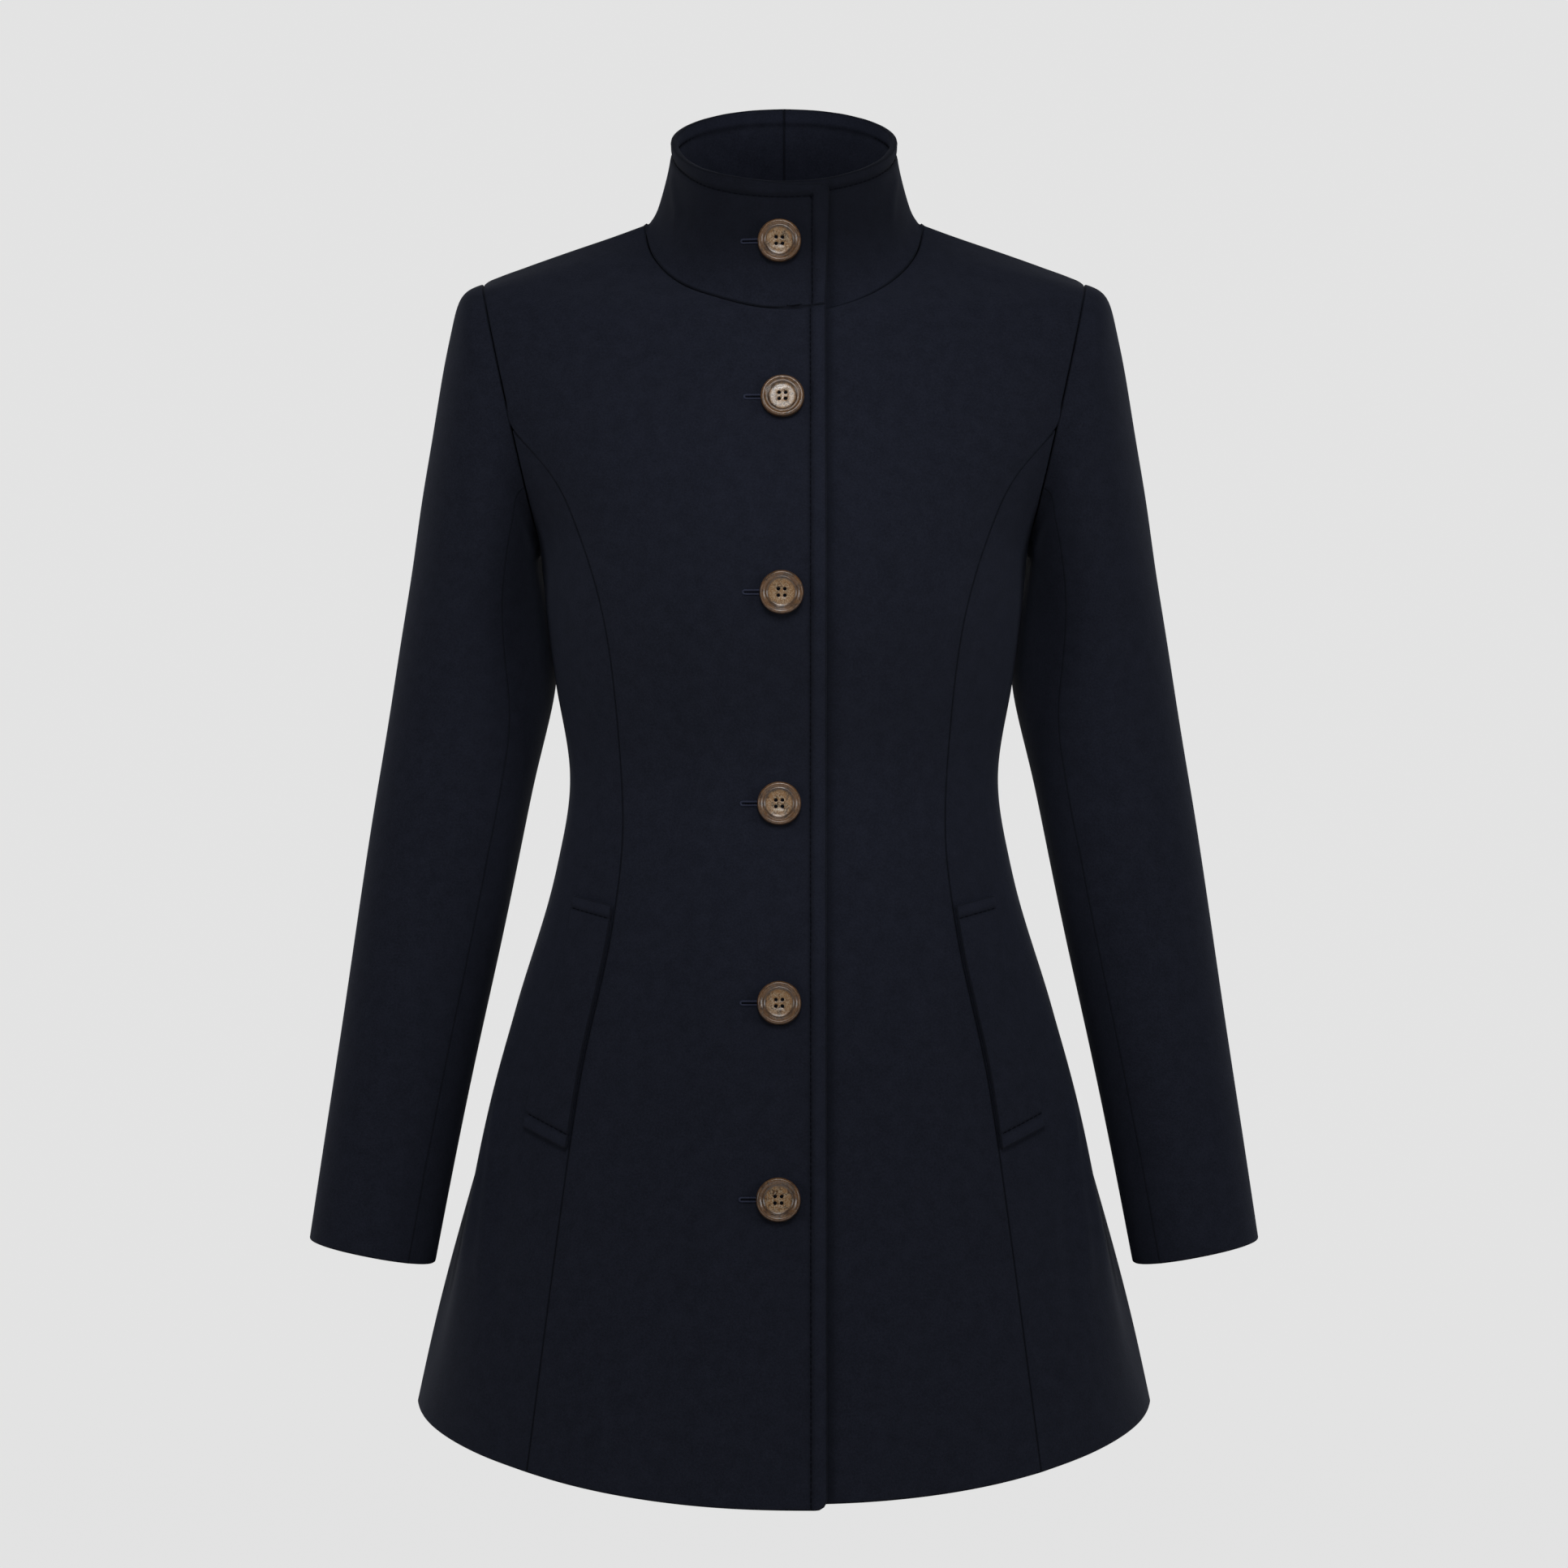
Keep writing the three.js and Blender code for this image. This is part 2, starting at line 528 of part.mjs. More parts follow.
// A section that is smaller all round, in its own plane
function shrunkSection(section, by) {
  const length = Math.hypot(section.outX - section.inX, section.outZ - section.inZ);
  const share = by / length;
  return {
    outX: lerp(section.outX, section.inX, share),
    outZ: lerp(section.outZ, section.inZ, share),
    inX: lerp(section.inX, section.outX, share),
    inZ: lerp(section.inZ, section.outZ, share),
    front: section.front - by,
    back: section.back - by,
    middle: section.middle,
    tuck: section.tuck,
  };
}

// Welt: made from the side front's points, moved out
function weltGeometry(side) {
  const rows = steps(WELT_ROWS).map((t) => steps(WELT_COLUMNS).map((u) => {
    const innerLevel = lerp(WELT.innerTop.level, WELT.innerBottom.level, t);
    const outerLevel = lerp(WELT.outerTop.level, WELT.outerBottom.level, t);
    const innerAcross = princessAcross(innerLevel) + 1;
    const outerAcross = innerAcross + lerp(
      WELT.outerTop.across - WELT.innerTop.across,
      WELT.outerBottom.across - WELT.innerBottom.across,
      t,
    );
    return frontPlace(side * lerp(innerAcross, outerAcross, u), lerp(innerLevel, outerLevel, u));
  }));
  const layer = (height) => rows.map((row) => row.map((place) =>
    bodyPoint(place).addScaledVector(bodyNormal(place), fluteRise(place) + height)));
  return wallGeometry(layer(SEAT_GAP + WELT_CLOTH), layer(SEAT_GAP));
}

// Button: a turned disc with a raised rim, a dished middle and four holes, facing +Z
function buttonSolid() {
  const { radius, thickness, dish, sunk } = BUTTON;
  const profile = [
    [0, 0],
    [radius - BUTTON_EDGE.foot, 0],
    [radius, BUTTON_EDGE.side],
    [radius, thickness - BUTTON_EDGE.side],
    [radius - BUTTON_EDGE.top, thickness],
    [dish + BUTTON_EDGE.dish, thickness],
    [dish, thickness - sunk],
    [0, thickness - sunk],
  ].map(([x, y]) => new THREE.Vector2(x, y));
  const lathe = new THREE.LatheGeometry(profile, BUTTON_SIDES);
  lathe.rotateX(QUARTER);
  let solid = toManifold(lathe);
  for (const [x, y] of [[-1, -1], [-1, 1], [1, -1], [1, 1]]) {
    const drill = new THREE.CylinderGeometry(BUTTON.hole, BUTTON.hole, thickness * 3, HOLE_SIDES);
    drill.rotateX(QUARTER);
    drill.translate(x * BUTTON.holeOffset, y * BUTTON.holeOffset, 0);
    solid = solid.subtract(toManifold(drill));
  }
  const mesh = solid.getMesh();
  const geometry = new THREE.BufferGeometry();
  geometry.setAttribute('position', new THREE.BufferAttribute(mesh.vertProperties, 3));
  geometry.setIndex(new THREE.BufferAttribute(mesh.triVerts, 1));
  return geometry;
}

function toManifold(geometry) {
  const bare = new THREE.BufferGeometry();
  bare.setAttribute('position', geometry.attributes.position);
  bare.setIndex(geometry.index);
  const merged = mergeVertices(bare, SAME_PLACE);
  const corners = [...merged.index.array];
  const kept = [];
  for (let k = 0; k < corners.length; k += 3) {
    const [a, b, c] = corners.slice(k, k + 3);
    if (a !== b && b !== c && c !== a) kept.push(a, b, c);
  }
  return new wasm.Manifold(new wasm.Mesh({
    numProp: 3,
    vertProperties: new Float32Array(merged.attributes.position.array),
    triVerts: new Uint32Array(kept),
  }));
}

const coat = new THREE.Group();

function addPiece(name, geometry, material) {
  const mesh = new THREE.Mesh(geometry, material);
  mesh.name = name;
  coat.add(mesh);
  return mesh;
}

for (const [side, name] of [[RIGHT, 'right'], [LEFT, 'left']]) {
  addPiece(`front_${name}`, frontPanel(side), wool());
  addPiece(`side_front_${name}`, sideFrontPanel(side), wool());
  addPiece(`back_${name}`, backPanel(side), wool());
  addPiece(`collar_${name}`, collarHalf(side), wool());
  const { front, back } = SLEEVE_SEAM;
  addPiece(`sleeve_top_${name}`, sleevePiece(side, back - 360, front, TOP_SLEEVE_COLUMNS), wool());
  addPiece(`sleeve_under_${name}`, sleevePiece(side, front, back, UNDER_SLEEVE_COLUMNS), wool());
  addPiece(`welt_${name}`, weltGeometry(side), wool());
}

// Each button lies on the cloth under it, clear of the highest point below its rim
function placeButton({ name }, gap, seat, normal, surfaceAt) {
  const mesh = addPiece(name, buttonSolid(), horn());
  mesh.quaternion.setFromUnitVectors(new THREE.Vector3(0, 0, 1), normal);
  const lifts = steps(BUTTON_SIDES).map((t) => {
    const turn = t * 2 * Math.PI;
    const reach = BUTTON.radius;
    return surfaceAt(reach * Math.cos(turn), reach * Math.sin(turn)).sub(seat).dot(normal);
  });
  mesh.position.copy(seat).addScaledVector(normal, gap + Math.max(0, ...lifts));
}

for (const button of BUTTONS) {
  const surfaceAt = (x, z) => {
    const place = frontPlace(button.across + x, button.level + z);
    const point = bodyPoint(place);
    return point.addScaledVector(bodyNormal(place), lapRaise(point.x));
  };
  const normal = bodyNormal(frontPlace(button.across, button.level));
  placeButton(button, SEAT_GAP, surfaceAt(0, 0), normal, surfaceAt);
}

// The collar's button: its seat is found where the right collar half reaches the button's level
const SEEKING_STEPS = 20;
const collarSurface = (x, z) => {
  let height = 0.5;
  const width = lerp(NECK.width, COLLAR_TOP.width, collarNarrowed(height));
  const angle = lapAngle(COLLAR_BUTTON.across + x, width);
  let point = collarPoint(angle, height, lapRaise, COLLAR_DROP.depth);
  for (let k = 0; k < SEEKING_STEPS; k += 1) {
    height += (COLLAR_BUTTON.level + z - point.z) / (COLLAR_TOP.frontLevel + NECK.drop);
    point = collarPoint(angle, height, lapRaise, COLLAR_DROP.depth);
  }
  return point;
};
const collarSeat = collarSurface(0, 0);
const seatReach = BUTTON.radius / 3;
const collarNormal = collarSurface(seatReach, 0).sub(collarSurface(-seatReach, 0))
  .cross(collarSurface(0, seatReach).sub(collarSurface(0, -seatReach))).normalize();
placeButton(COLLAR_BUTTON, COLLAR_SEAT_GAP, collarSeat, collarNormal, collarSurface);

export default coat;
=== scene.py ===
import math
from contextlib import contextmanager

import bmesh
import bpy
import numpy as np
from mathutils import Matrix, Vector
from mathutils.bvhtree import BVHTree
from mathutils.geometry import intersect_point_line
from mathutils.kdtree import KDTree


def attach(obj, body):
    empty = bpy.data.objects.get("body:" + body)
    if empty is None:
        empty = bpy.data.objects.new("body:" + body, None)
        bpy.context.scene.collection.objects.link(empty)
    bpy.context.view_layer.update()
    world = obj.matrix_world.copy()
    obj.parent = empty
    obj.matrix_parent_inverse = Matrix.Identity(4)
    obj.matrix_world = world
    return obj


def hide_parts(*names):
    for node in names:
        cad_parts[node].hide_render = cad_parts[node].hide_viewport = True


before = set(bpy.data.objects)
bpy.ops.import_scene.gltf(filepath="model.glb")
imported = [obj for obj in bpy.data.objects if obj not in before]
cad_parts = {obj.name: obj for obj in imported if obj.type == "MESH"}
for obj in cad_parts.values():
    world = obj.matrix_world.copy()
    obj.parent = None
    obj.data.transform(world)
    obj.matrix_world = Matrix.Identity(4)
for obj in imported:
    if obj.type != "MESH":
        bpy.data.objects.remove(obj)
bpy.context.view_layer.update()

bl_info = {
    "name": "Fitted wool coat",
    "version": (1, 0, 0),
    "blender": (4, 5, 0),
    "location": "View3D > Sidebar > Coat",
    "description": "Dresses the packed coat in melton wool, with its stitching and horn buttons",
    "category": "Object",
}

BODY = "root"

# The cut pieces: thickness, radius of the edges, and the flat size and area that each is cut to
COAT_WOOL = {"cloth": 0.003, "round": 0.0012}
CUTS = {
    "front": {**COAT_WOOL, "flat": (0.26, 0.84), "area": 0.135},
    "side_front": {**COAT_WOOL, "flat": (0.16, 0.67), "area": 0.069},
    "back": {**COAT_WOOL, "flat": (0.32, 0.82), "area": 0.183},
    "collar": {"cloth": 0.0046, "round": 0.0015, "flat": (0.25, 0.10), "area": 0.020},
    "sleeve_top": {**COAT_WOOL, "flat": (0.27, 0.66), "area": 0.120},
    "sleeve_under": {**COAT_WOOL, "flat": (0.14, 0.50), "area": 0.053},
    "welt": {"cloth": 0.0026, "round": 0.001, "flat": (0.038, 0.156), "area": 0.0056},
}
SIDES = ("right", "left")

# Places on the coat, in metres: the overlap's edge down the front and on the collar, how far each
# side laps and where its hem corner is, the collar's slanted top edge and its foot, the plane of
# the armhole in the front view, and the corners of a welt there
FRONT_EDGE = 0.0265
COLLAR_FRONT_EDGE = 0.0279
LAP_END = {"right": 0.0272, "left": -0.0272}
HEM_CORNER = (-0.14, -0.82)
COLLAR_TOP = {"front_y": -0.075, "front_z": 0.0185, "back_y": 0.060, "back_z": 0.083}
COLLAR_FOOT = {"y": (-0.08, 0.068), "z": (-0.062, 0)}
ARMHOLE_TOP = (0.1963, -0.040)
ARMHOLE_BOTTOM = (0.160, -0.205)
WELT_ENDS = {
    "top": ((0.1075, -0.444), (0.1318, -0.438)),
    "bottom": ((0.135, -0.596), (0.1624, -0.584)),
}

# Where the sides of a cloth wall end and its rim starts: the turn between two faces, how near the
# armhole's plane a sleeve's end lies, and how far down the foot of the collar faces
RIM_TURN = math.radians(50)
ARMHOLE_NEARNESS = 0.0015
FOOT_FACING = -0.5
# A corner of a sheet's edge that is sharper than this stays a corner
STRAIGHT_ENOUGH = math.radians(140)
SAME_PLACE = 1e-6
# How often turned faces are eased, and how nearly a face lies along the sheet when it isn't turned
UNFOLD_PASSES = 30
FACING_ENOUGH = 0.8
# Steps of a rounded edge, and over how many of its radii the cloth eases into it
EDGE_STEPS = 3
EASE_SPAN = 3.5

# The attribute that holds painted shading: painted shade up to 1, painted highlight below 0;
# how much shade is painted at seams, edges and stitching, and how much highlight in the strip between
# stitching and edge, whose middle and width are shares of the way to the edge
SHADING_ATTRIBUTE = "pressed"
SEAM_SHADE = 0.6
GROOVE_SHADE = 0.4
STRIP_HIGHLIGHT = 0.14
STRIP_MIDDLE = 0.55
STRIP_WIDTH = 0.36
# How much painted shade darkens the collar's outside, and from which height over its foot up to which
COLLAR_SHADE = 0.5
COLLAR_SHADE_FROM = 0.01
COLLAR_SHADE_RISE = 0.035

# How near to a stitching line a corner counts as on it, and where the cloth is cut beside the line
# so that it can bend there, in half widths of the groove
ON_LINE = 0.00025
GROOVE_CUTS = (-1.4, -0.7, 0, 0.7, 1.4)
# The painted shadow that the overlap's edge casts on the cloth under it, over a shallow dent: how far
# beyond the edge, half its width, and the dent's depth
LAP_SHADOW_GAP = {"front": 0.0012, "collar": 0.0014}
LAP_SHADOW_WIDTH = 0.0026
LAP_DENT_DEPTH = 0.0003
# A stitch: half its length as a share of its step, its height as a share of its width, and how far
# it lies sunk in its groove; a welt's grooves as a share of the others
STITCH_HALF = 0.42
STITCH_HEIGHT = 0.8
STITCH_SUNK = 0.75
WELT_GROOVE = 0.8
# How far a fold fades at each end, as a share of its length, and how far the cloth may face away
# from a view and still be folded in it
FOLD_FADE = 0.3
FOLD_FACING = 0.25

# How far the cut pieces' edges are let out, so that the cloth meets at its seams
LET_OUT = 0.00028
SLEEVE_LET_OUT = 0.00045

BUTTONS = ("button_collar", "button_1", "button_2", "button_3", "button_4", "button_5")
# A button's turned outline from its foot up over the rim and down into the dish, in shares of its
# radius and thickness; the radius that it starts from, its round steps and the bevel of its edges
BUTTON_OUTLINE = (
    (0.955, 0.03), (0.985, 0.12), (1.0, 0.28), (1.0, 0.55), (0.985, 0.76), (0.955, 0.92),
    (0.91, 1.0), (0.86, 0.99), (0.81, 0.92), (0.765, 0.82), (0.735, 0.8), (0.71, 0.84),
    (0.685, 0.83), (0.655, 0.74), (0.62, 0.69), (0.5, 0.67),
)
BUTTON_FOOT = 0.92
BUTTON_STEPS = 72
BUTTON_BEVEL = 0.00022
# The thread in a hole: its radius as a share of the hole's, its height as one of the thickness
HOLE_THREAD_RADIUS = 0.8
HOLE_THREAD_LEVEL = 0.42

# Buttonholes: how far one runs on under its button from the middle, half its height, the radius of
# its worked edge, the steps of that, and how far it stands out as a share of its radius
HOLE_INNER = 0.002
HOLE_HALF = 0.00115
HOLE_LIP = 0.00075
HOLE_STEP = 0.0009
HOLE_PROUD = 0.35
# The end of a buttonhole, rounded: places in from the tip, and heights, as shares of half its height
HOLE_ROUND = 0.3
HOLE_SHOULDER = 0.7
# A dark cord along the middle of a buttonhole, which paints the shade inside its cut: how far it starts
# from the tip, its steps, radius and how far it stands out
SLIT_START = 0.001
SLIT_STEP = 0.0012
SLIT_RADIUS = 0.0004
SLIT_PROUD = 0.0002
# Every second stitch of a worked edge is this much thinner
THIN_STITCH = 0.82

# The studio: the paper sweep's width, depth, height, middle and curve, the point that the soft
# boxes face, each one's name, place, size and power, and the lamp for one brighter stretch
SWEEP_WIDTH = 14
SWEEP_DEPTH = 9
SWEEP_HEIGHT = 7
SWEEP_MIDDLE = 0.5
SWEEP_CURVE = 1.2
SOFT_BOX_AIM = (0, 0, -0.4)
SOFT_BOXES = (
    ("key", (0.05, -2.0, 1.3), 1.0, 20),
    ("side_right", (-2.0, -1.35, 0.1), 0.8, 10),
    ("side_left", (2.0, -1.35, 0.1), 0.8, 12),
    ("back", (0, 2.4, 0.6), 1.0, 6),
)
ACCENT = {"place": (0.05, -1.6, 0.5), "aim": (0, -0.12, -0.23), "power": 66}
ACCENT_ANGLE = math.radians(8.5)
ACCENT_SIZE = 0.2
ROOM_LIGHT = 0.07
SENSOR_WIDTH = 36
VIEW_DEPTH = 60


class CoatClothSettings(bpy.types.PropertyGroup):
    """Sizes and colours of the cloth and its stitching"""

    levels: bpy.props.IntProperty(
        name="Smoothing", description="How often the cut pieces' faces are divided",
        default=3, min=1, max=4)
    stitch_inset: bpy.props.FloatProperty(
        name="Stitch inset", description="How far the stitching lies in from an edge",
        default=0.0098, unit="LENGTH", precision=4)
    collar_inset: bpy.props.FloatProperty(
        name="Collar stitch inset", description="How far the stitching lies below the collar's top edge",
        default=0.0082, unit="LENGTH", precision=4)
    welt_inset: bpy.props.FloatProperty(
        name="Welt stitch inset", description="How far the stitching lies in from the ends of a welt",
        default=0.0078, unit="LENGTH", precision=4)
    groove_depth: bpy.props.FloatProperty(
        name="Groove depth", description="How deep the stitching draws the cloth in",
        default=0.0013, unit="LENGTH", precision=4)
    groove_width: bpy.props.FloatProperty(
        name="Groove width", description="Half the width of the drawn-in cloth",
        default=0.0016, unit="LENGTH", precision=4)
    stitch_length: bpy.props.FloatProperty(
        name="Stitch length", description="Length of one stitch with its gap",
        default=0.0042, unit="LENGTH", precision=4)
    thread: bpy.props.FloatProperty(
        name="Thread", description="Thickness of the sewing thread",
        default=0.0004, unit="LENGTH", precision=5)
    corner: bpy.props.FloatProperty(
        name="Corner rounding", description="Radius of the overlap's corners",
        default=0.007, unit="LENGTH", precision=4)
    light_colour: bpy.props.StringProperty(
        name="Light fibres", description="Colour of the light wool fibres, as sRGB hex", default="#20232F")
    dark_colour: bpy.props.StringProperty(
        name="Dark fibres", description="Colour of the dark wool fibres, as sRGB hex", default="#161923")
    # Painted shade: the colour that seams, edges, stitching, the overlap's shadow and the collar's outside
    # are darkened towards
    pressed_colour: bpy.props.StringProperty(
        name="Pressed nap", description="Colour of the wool where its nap is flattened, as sRGB hex",
        default="#07090F")
    # Painted highlight: the colour that the strip beside the stitching is lightened towards
    puffed_colour: bpy.props.StringProperty(
        name="Puffed nap", description="Colour of the wool where its nap stands up, as sRGB hex",
        default="#2C3040")
    # The thread's colour, darker than the wool: painted shade of its groove and of the inside of the
    # buttonholes
    thread_colour: bpy.props.StringProperty(
        name="Thread colour", description="Colour of the thread, as sRGB hex", default="#0C0E16")
    twist_colour: bpy.props.StringProperty(
        name="Twist colour", description="Colour of the buttonholes' thread, as sRGB hex",
        default="#333748")


class CoatButtonSettings(bpy.types.PropertyGroup):
    """Sizes and colours of the buttons and buttonholes"""

    radius: bpy.props.FloatProperty(
        name="Radius", description="Radius of a button", default=0.0138, unit="LENGTH", precision=4)
    thickness: bpy.props.FloatProperty(
        name="Thickness", description="Thickness of a button", default=0.0046, unit="LENGTH", precision=4)
    hole_radius: bpy.props.FloatProperty(
        name="Hole radius", description="Radius of one of the four holes",
        default=0.0012, unit="LENGTH", precision=5)
    hole_offset: bpy.props.FloatProperty(
        name="Hole offset", description="How far a hole lies from the middle, both ways",
        default=0.00205, unit="LENGTH", precision=5)
    slot_reach: bpy.props.FloatProperty(
        name="Buttonhole reach", description="How far the buttonhole shows beside the button's middle",
        default=0.0243, unit="LENGTH", precision=4)
    rim_colour: bpy.props.StringProperty(
        name="Rim", description="Colour of the button's rim, as sRGB hex", default="#63411F")
    dish_colour: bpy.props.StringProperty(
        name="Dish", description="Colour of the button's dish, as sRGB hex", default="#8C673F")
    mottle_colour: bpy.props.StringProperty(
        name="Mottling", description="Colour of the dark streaks, as sRGB hex", default="#2C190D")


class CoatStageSettings(bpy.types.PropertyGroup):
    """The camera's place and the studio's tones"""

    camera_distance: bpy.props.FloatProperty(
        name="Camera distance", description="How far the camera stands from the coat's middle plane",
        default=3.0, unit="LENGTH")
    camera_level: bpy.props.FloatProperty(
        name="Camera level", description="Height of the camera", default=-0.366, unit="LENGTH")
    frame_width: bpy.props.FloatProperty(
        name="Frame width", description="Width of the picture at the coat's middle plane",
        default=1.024, unit="LENGTH")
    floor_level: bpy.props.FloatProperty(
        name="Floor level", description="Height of the floor", default=-1.42, unit="LENGTH")
    backdrop_colour: bpy.props.StringProperty(
        name="Backdrop", description="Tone of the floor and backdrop, as sRGB hex", default="#E2E2E2")


def linear(hex_colour):
    """An sRGB hex colour as a linear RGBA value"""
    channels = [int(hex_colour[i:i + 2], 16) / 255 for i in (1, 3, 5)]
    return [c / 12.92 if c <= 0.04045 else ((c + 0.055) / 1.055) ** 2.4 for c in channels] + [1.0]


def add_node(tree, kind, inputs=None, **settings):
    """A shader node with its settings; an input is a value, or the output socket that feeds it"""
    node = tree.nodes.new(kind)
    for name, value in settings.items():
        setattr(node, name, value)
    for name, value in (inputs or {}).items():
        if isinstance(value, bpy.types.NodeSocket):
            tree.links.new(value, node.inputs[name])
        else:
            node.inputs[name].default_value = value
    return node


def new_material(name):
    """An empty node material and its node tree"""
    material = bpy.data.materials.new(name)
    material.use_nodes = True
    material.node_tree.nodes.clear()
    return material, material.node_tree


def set_ramp(ramp, stops):
    """Gives a colour ramp its stops, as (place, hex colour)"""
    elements = ramp.color_ramp.elements
    while len(elements) < len(stops):
        elements.new(0.5)
    for element, (place, colour) in zip(elements, stops):
        element.position = place
        element.color = linear(colour)


def melton_wool(settings):
    """Melton: wool woven, then felted and cropped, so that no weave shows. Short fibres of uneven
    dye lie all ways, which gives a matt, faintly speckled face with a soft bloom at grazing angles."""
    material, tree = new_material("melton_wool")
    place = add_node(tree, "ShaderNodeTexCoord").outputs["Object"]
    # Fibre tufts are about 1.2 mm wide; single fibres of 0.02 mm are too fine to show
    tufts = add_node(tree, "ShaderNodeTexNoise", {
        "Vector": place, "Scale": 1 / 0.0012, "Detail": 3.0, "Roughness": 0.7})
    # Cloudiness left by felting, 9 mm across
    clouds = add_node(tree, "ShaderNodeTexNoise", {
        "Vector": place, "Scale": 1 / 0.009, "Detail": 2.0, "Roughness": 0.5})
    blend = add_node(tree, "ShaderNodeMix", {
        "Factor": 0.28, "A": tufts.outputs["Fac"], "B": clouds.outputs["Fac"]})
    ramp = add_node(tree, "ShaderNodeValToRGB", {"Fac": blend.outputs["Result"]})
    set_ramp(ramp, [(0.36, settings.dark_colour), (0.64, settings.light_colour)])
    # Painted shade darkens the wool in strips 2 to 3 mm wide at seams, edges and stitching, under the
    # overlap's edge and over the collar's outside
    pressed = add_node(tree, "ShaderNodeAttribute", attribute_name=SHADING_ATTRIBUTE)
    colour = add_node(tree, "ShaderNodeMix", {
        "Factor": pressed.outputs["Fac"], "A": ramp.outputs["Color"],
        "B": linear(settings.pressed_colour)}, data_type="RGBA")
    # Painted highlight lightens the strip beside the stitching, which the attribute gives as below 0
    highlight_share = add_node(tree, "ShaderNodeMath", {
        0: pressed.outputs["Fac"], 1: -1.0}, operation="MULTIPLY")
    colour = add_node(tree, "ShaderNodeMix", {
        "Factor": highlight_share.outputs["Value"], "A": colour.outputs["Result"],
        "B": linear(settings.puffed_colour)}, data_type="RGBA")
    nap = add_node(tree, "ShaderNodeTexNoise", {
        "Vector": place, "Scale": 1 / 0.0008, "Detail": 2.0, "Roughness": 0.6})
    relief = add_node(tree, "ShaderNodeMix", {
        "Factor": 0.4, "A": tufts.outputs["Fac"], "B": nap.outputs["Fac"]})
    bump = add_node(tree, "ShaderNodeBump", {
        "Strength": 0.35, "Distance": 0.0005, "Height": relief.outputs["Result"]})
    shader = add_node(tree, "ShaderNodeBsdfPrincipled", {
        "Base Color": colour.outputs["Result"], "Normal": bump.outputs["Normal"],
        "Roughness": 0.95, "IOR": 1.5, "Specular IOR Level": 0.1,
        "Sheen Weight": 0.08, "Sheen Roughness": 0.6, "Sheen Tint": linear("#8E98B4")})
    add_node(tree, "ShaderNodeOutputMaterial", {"Surface": shader.outputs["BSDF"]})
    return material


def sewing_thread(settings):
    """Spun polyester thread, coloured darker than the wool as painted shade of the groove that it lies
    sunk in; the same dark material paints the shade inside the buttonholes
    """
    return twisted_thread("sewing_thread", settings.thread_colour)


def buttonhole_twist(settings):
    """Buttonhole twist: a thicker thread, a little lighter than the wool"""
    return twisted_thread("buttonhole_twist", settings.twist_colour)


def twisted_thread(name, colour):
    """Thread of twisted plies, which give it a faint gleam"""
    material, tree = new_material(name)
    place = add_node(tree, "ShaderNodeTexCoord").outputs["Object"]
    # The plies' twist is about 0.6 mm long
    plies = add_node(tree, "ShaderNodeTexNoise", {"Vector": place, "Scale": 1 / 0.0006, "Detail": 1.0})
    bump = add_node(tree, "ShaderNodeBump", {
        "Strength": 0.5, "Distance": 0.0001, "Height": plies.outputs["Fac"]})
    shader = add_node(tree, "ShaderNodeBsdfPrincipled", {
        "Base Color": linear(colour), "Normal": bump.outputs["Normal"],
        "Roughness": 0.8, "IOR": 1.5, "Specular IOR Level": 0.05})
    add_node(tree, "ShaderNodeOutputMaterial", {"Surface": shader.outputs["BSDF"]})
    return material


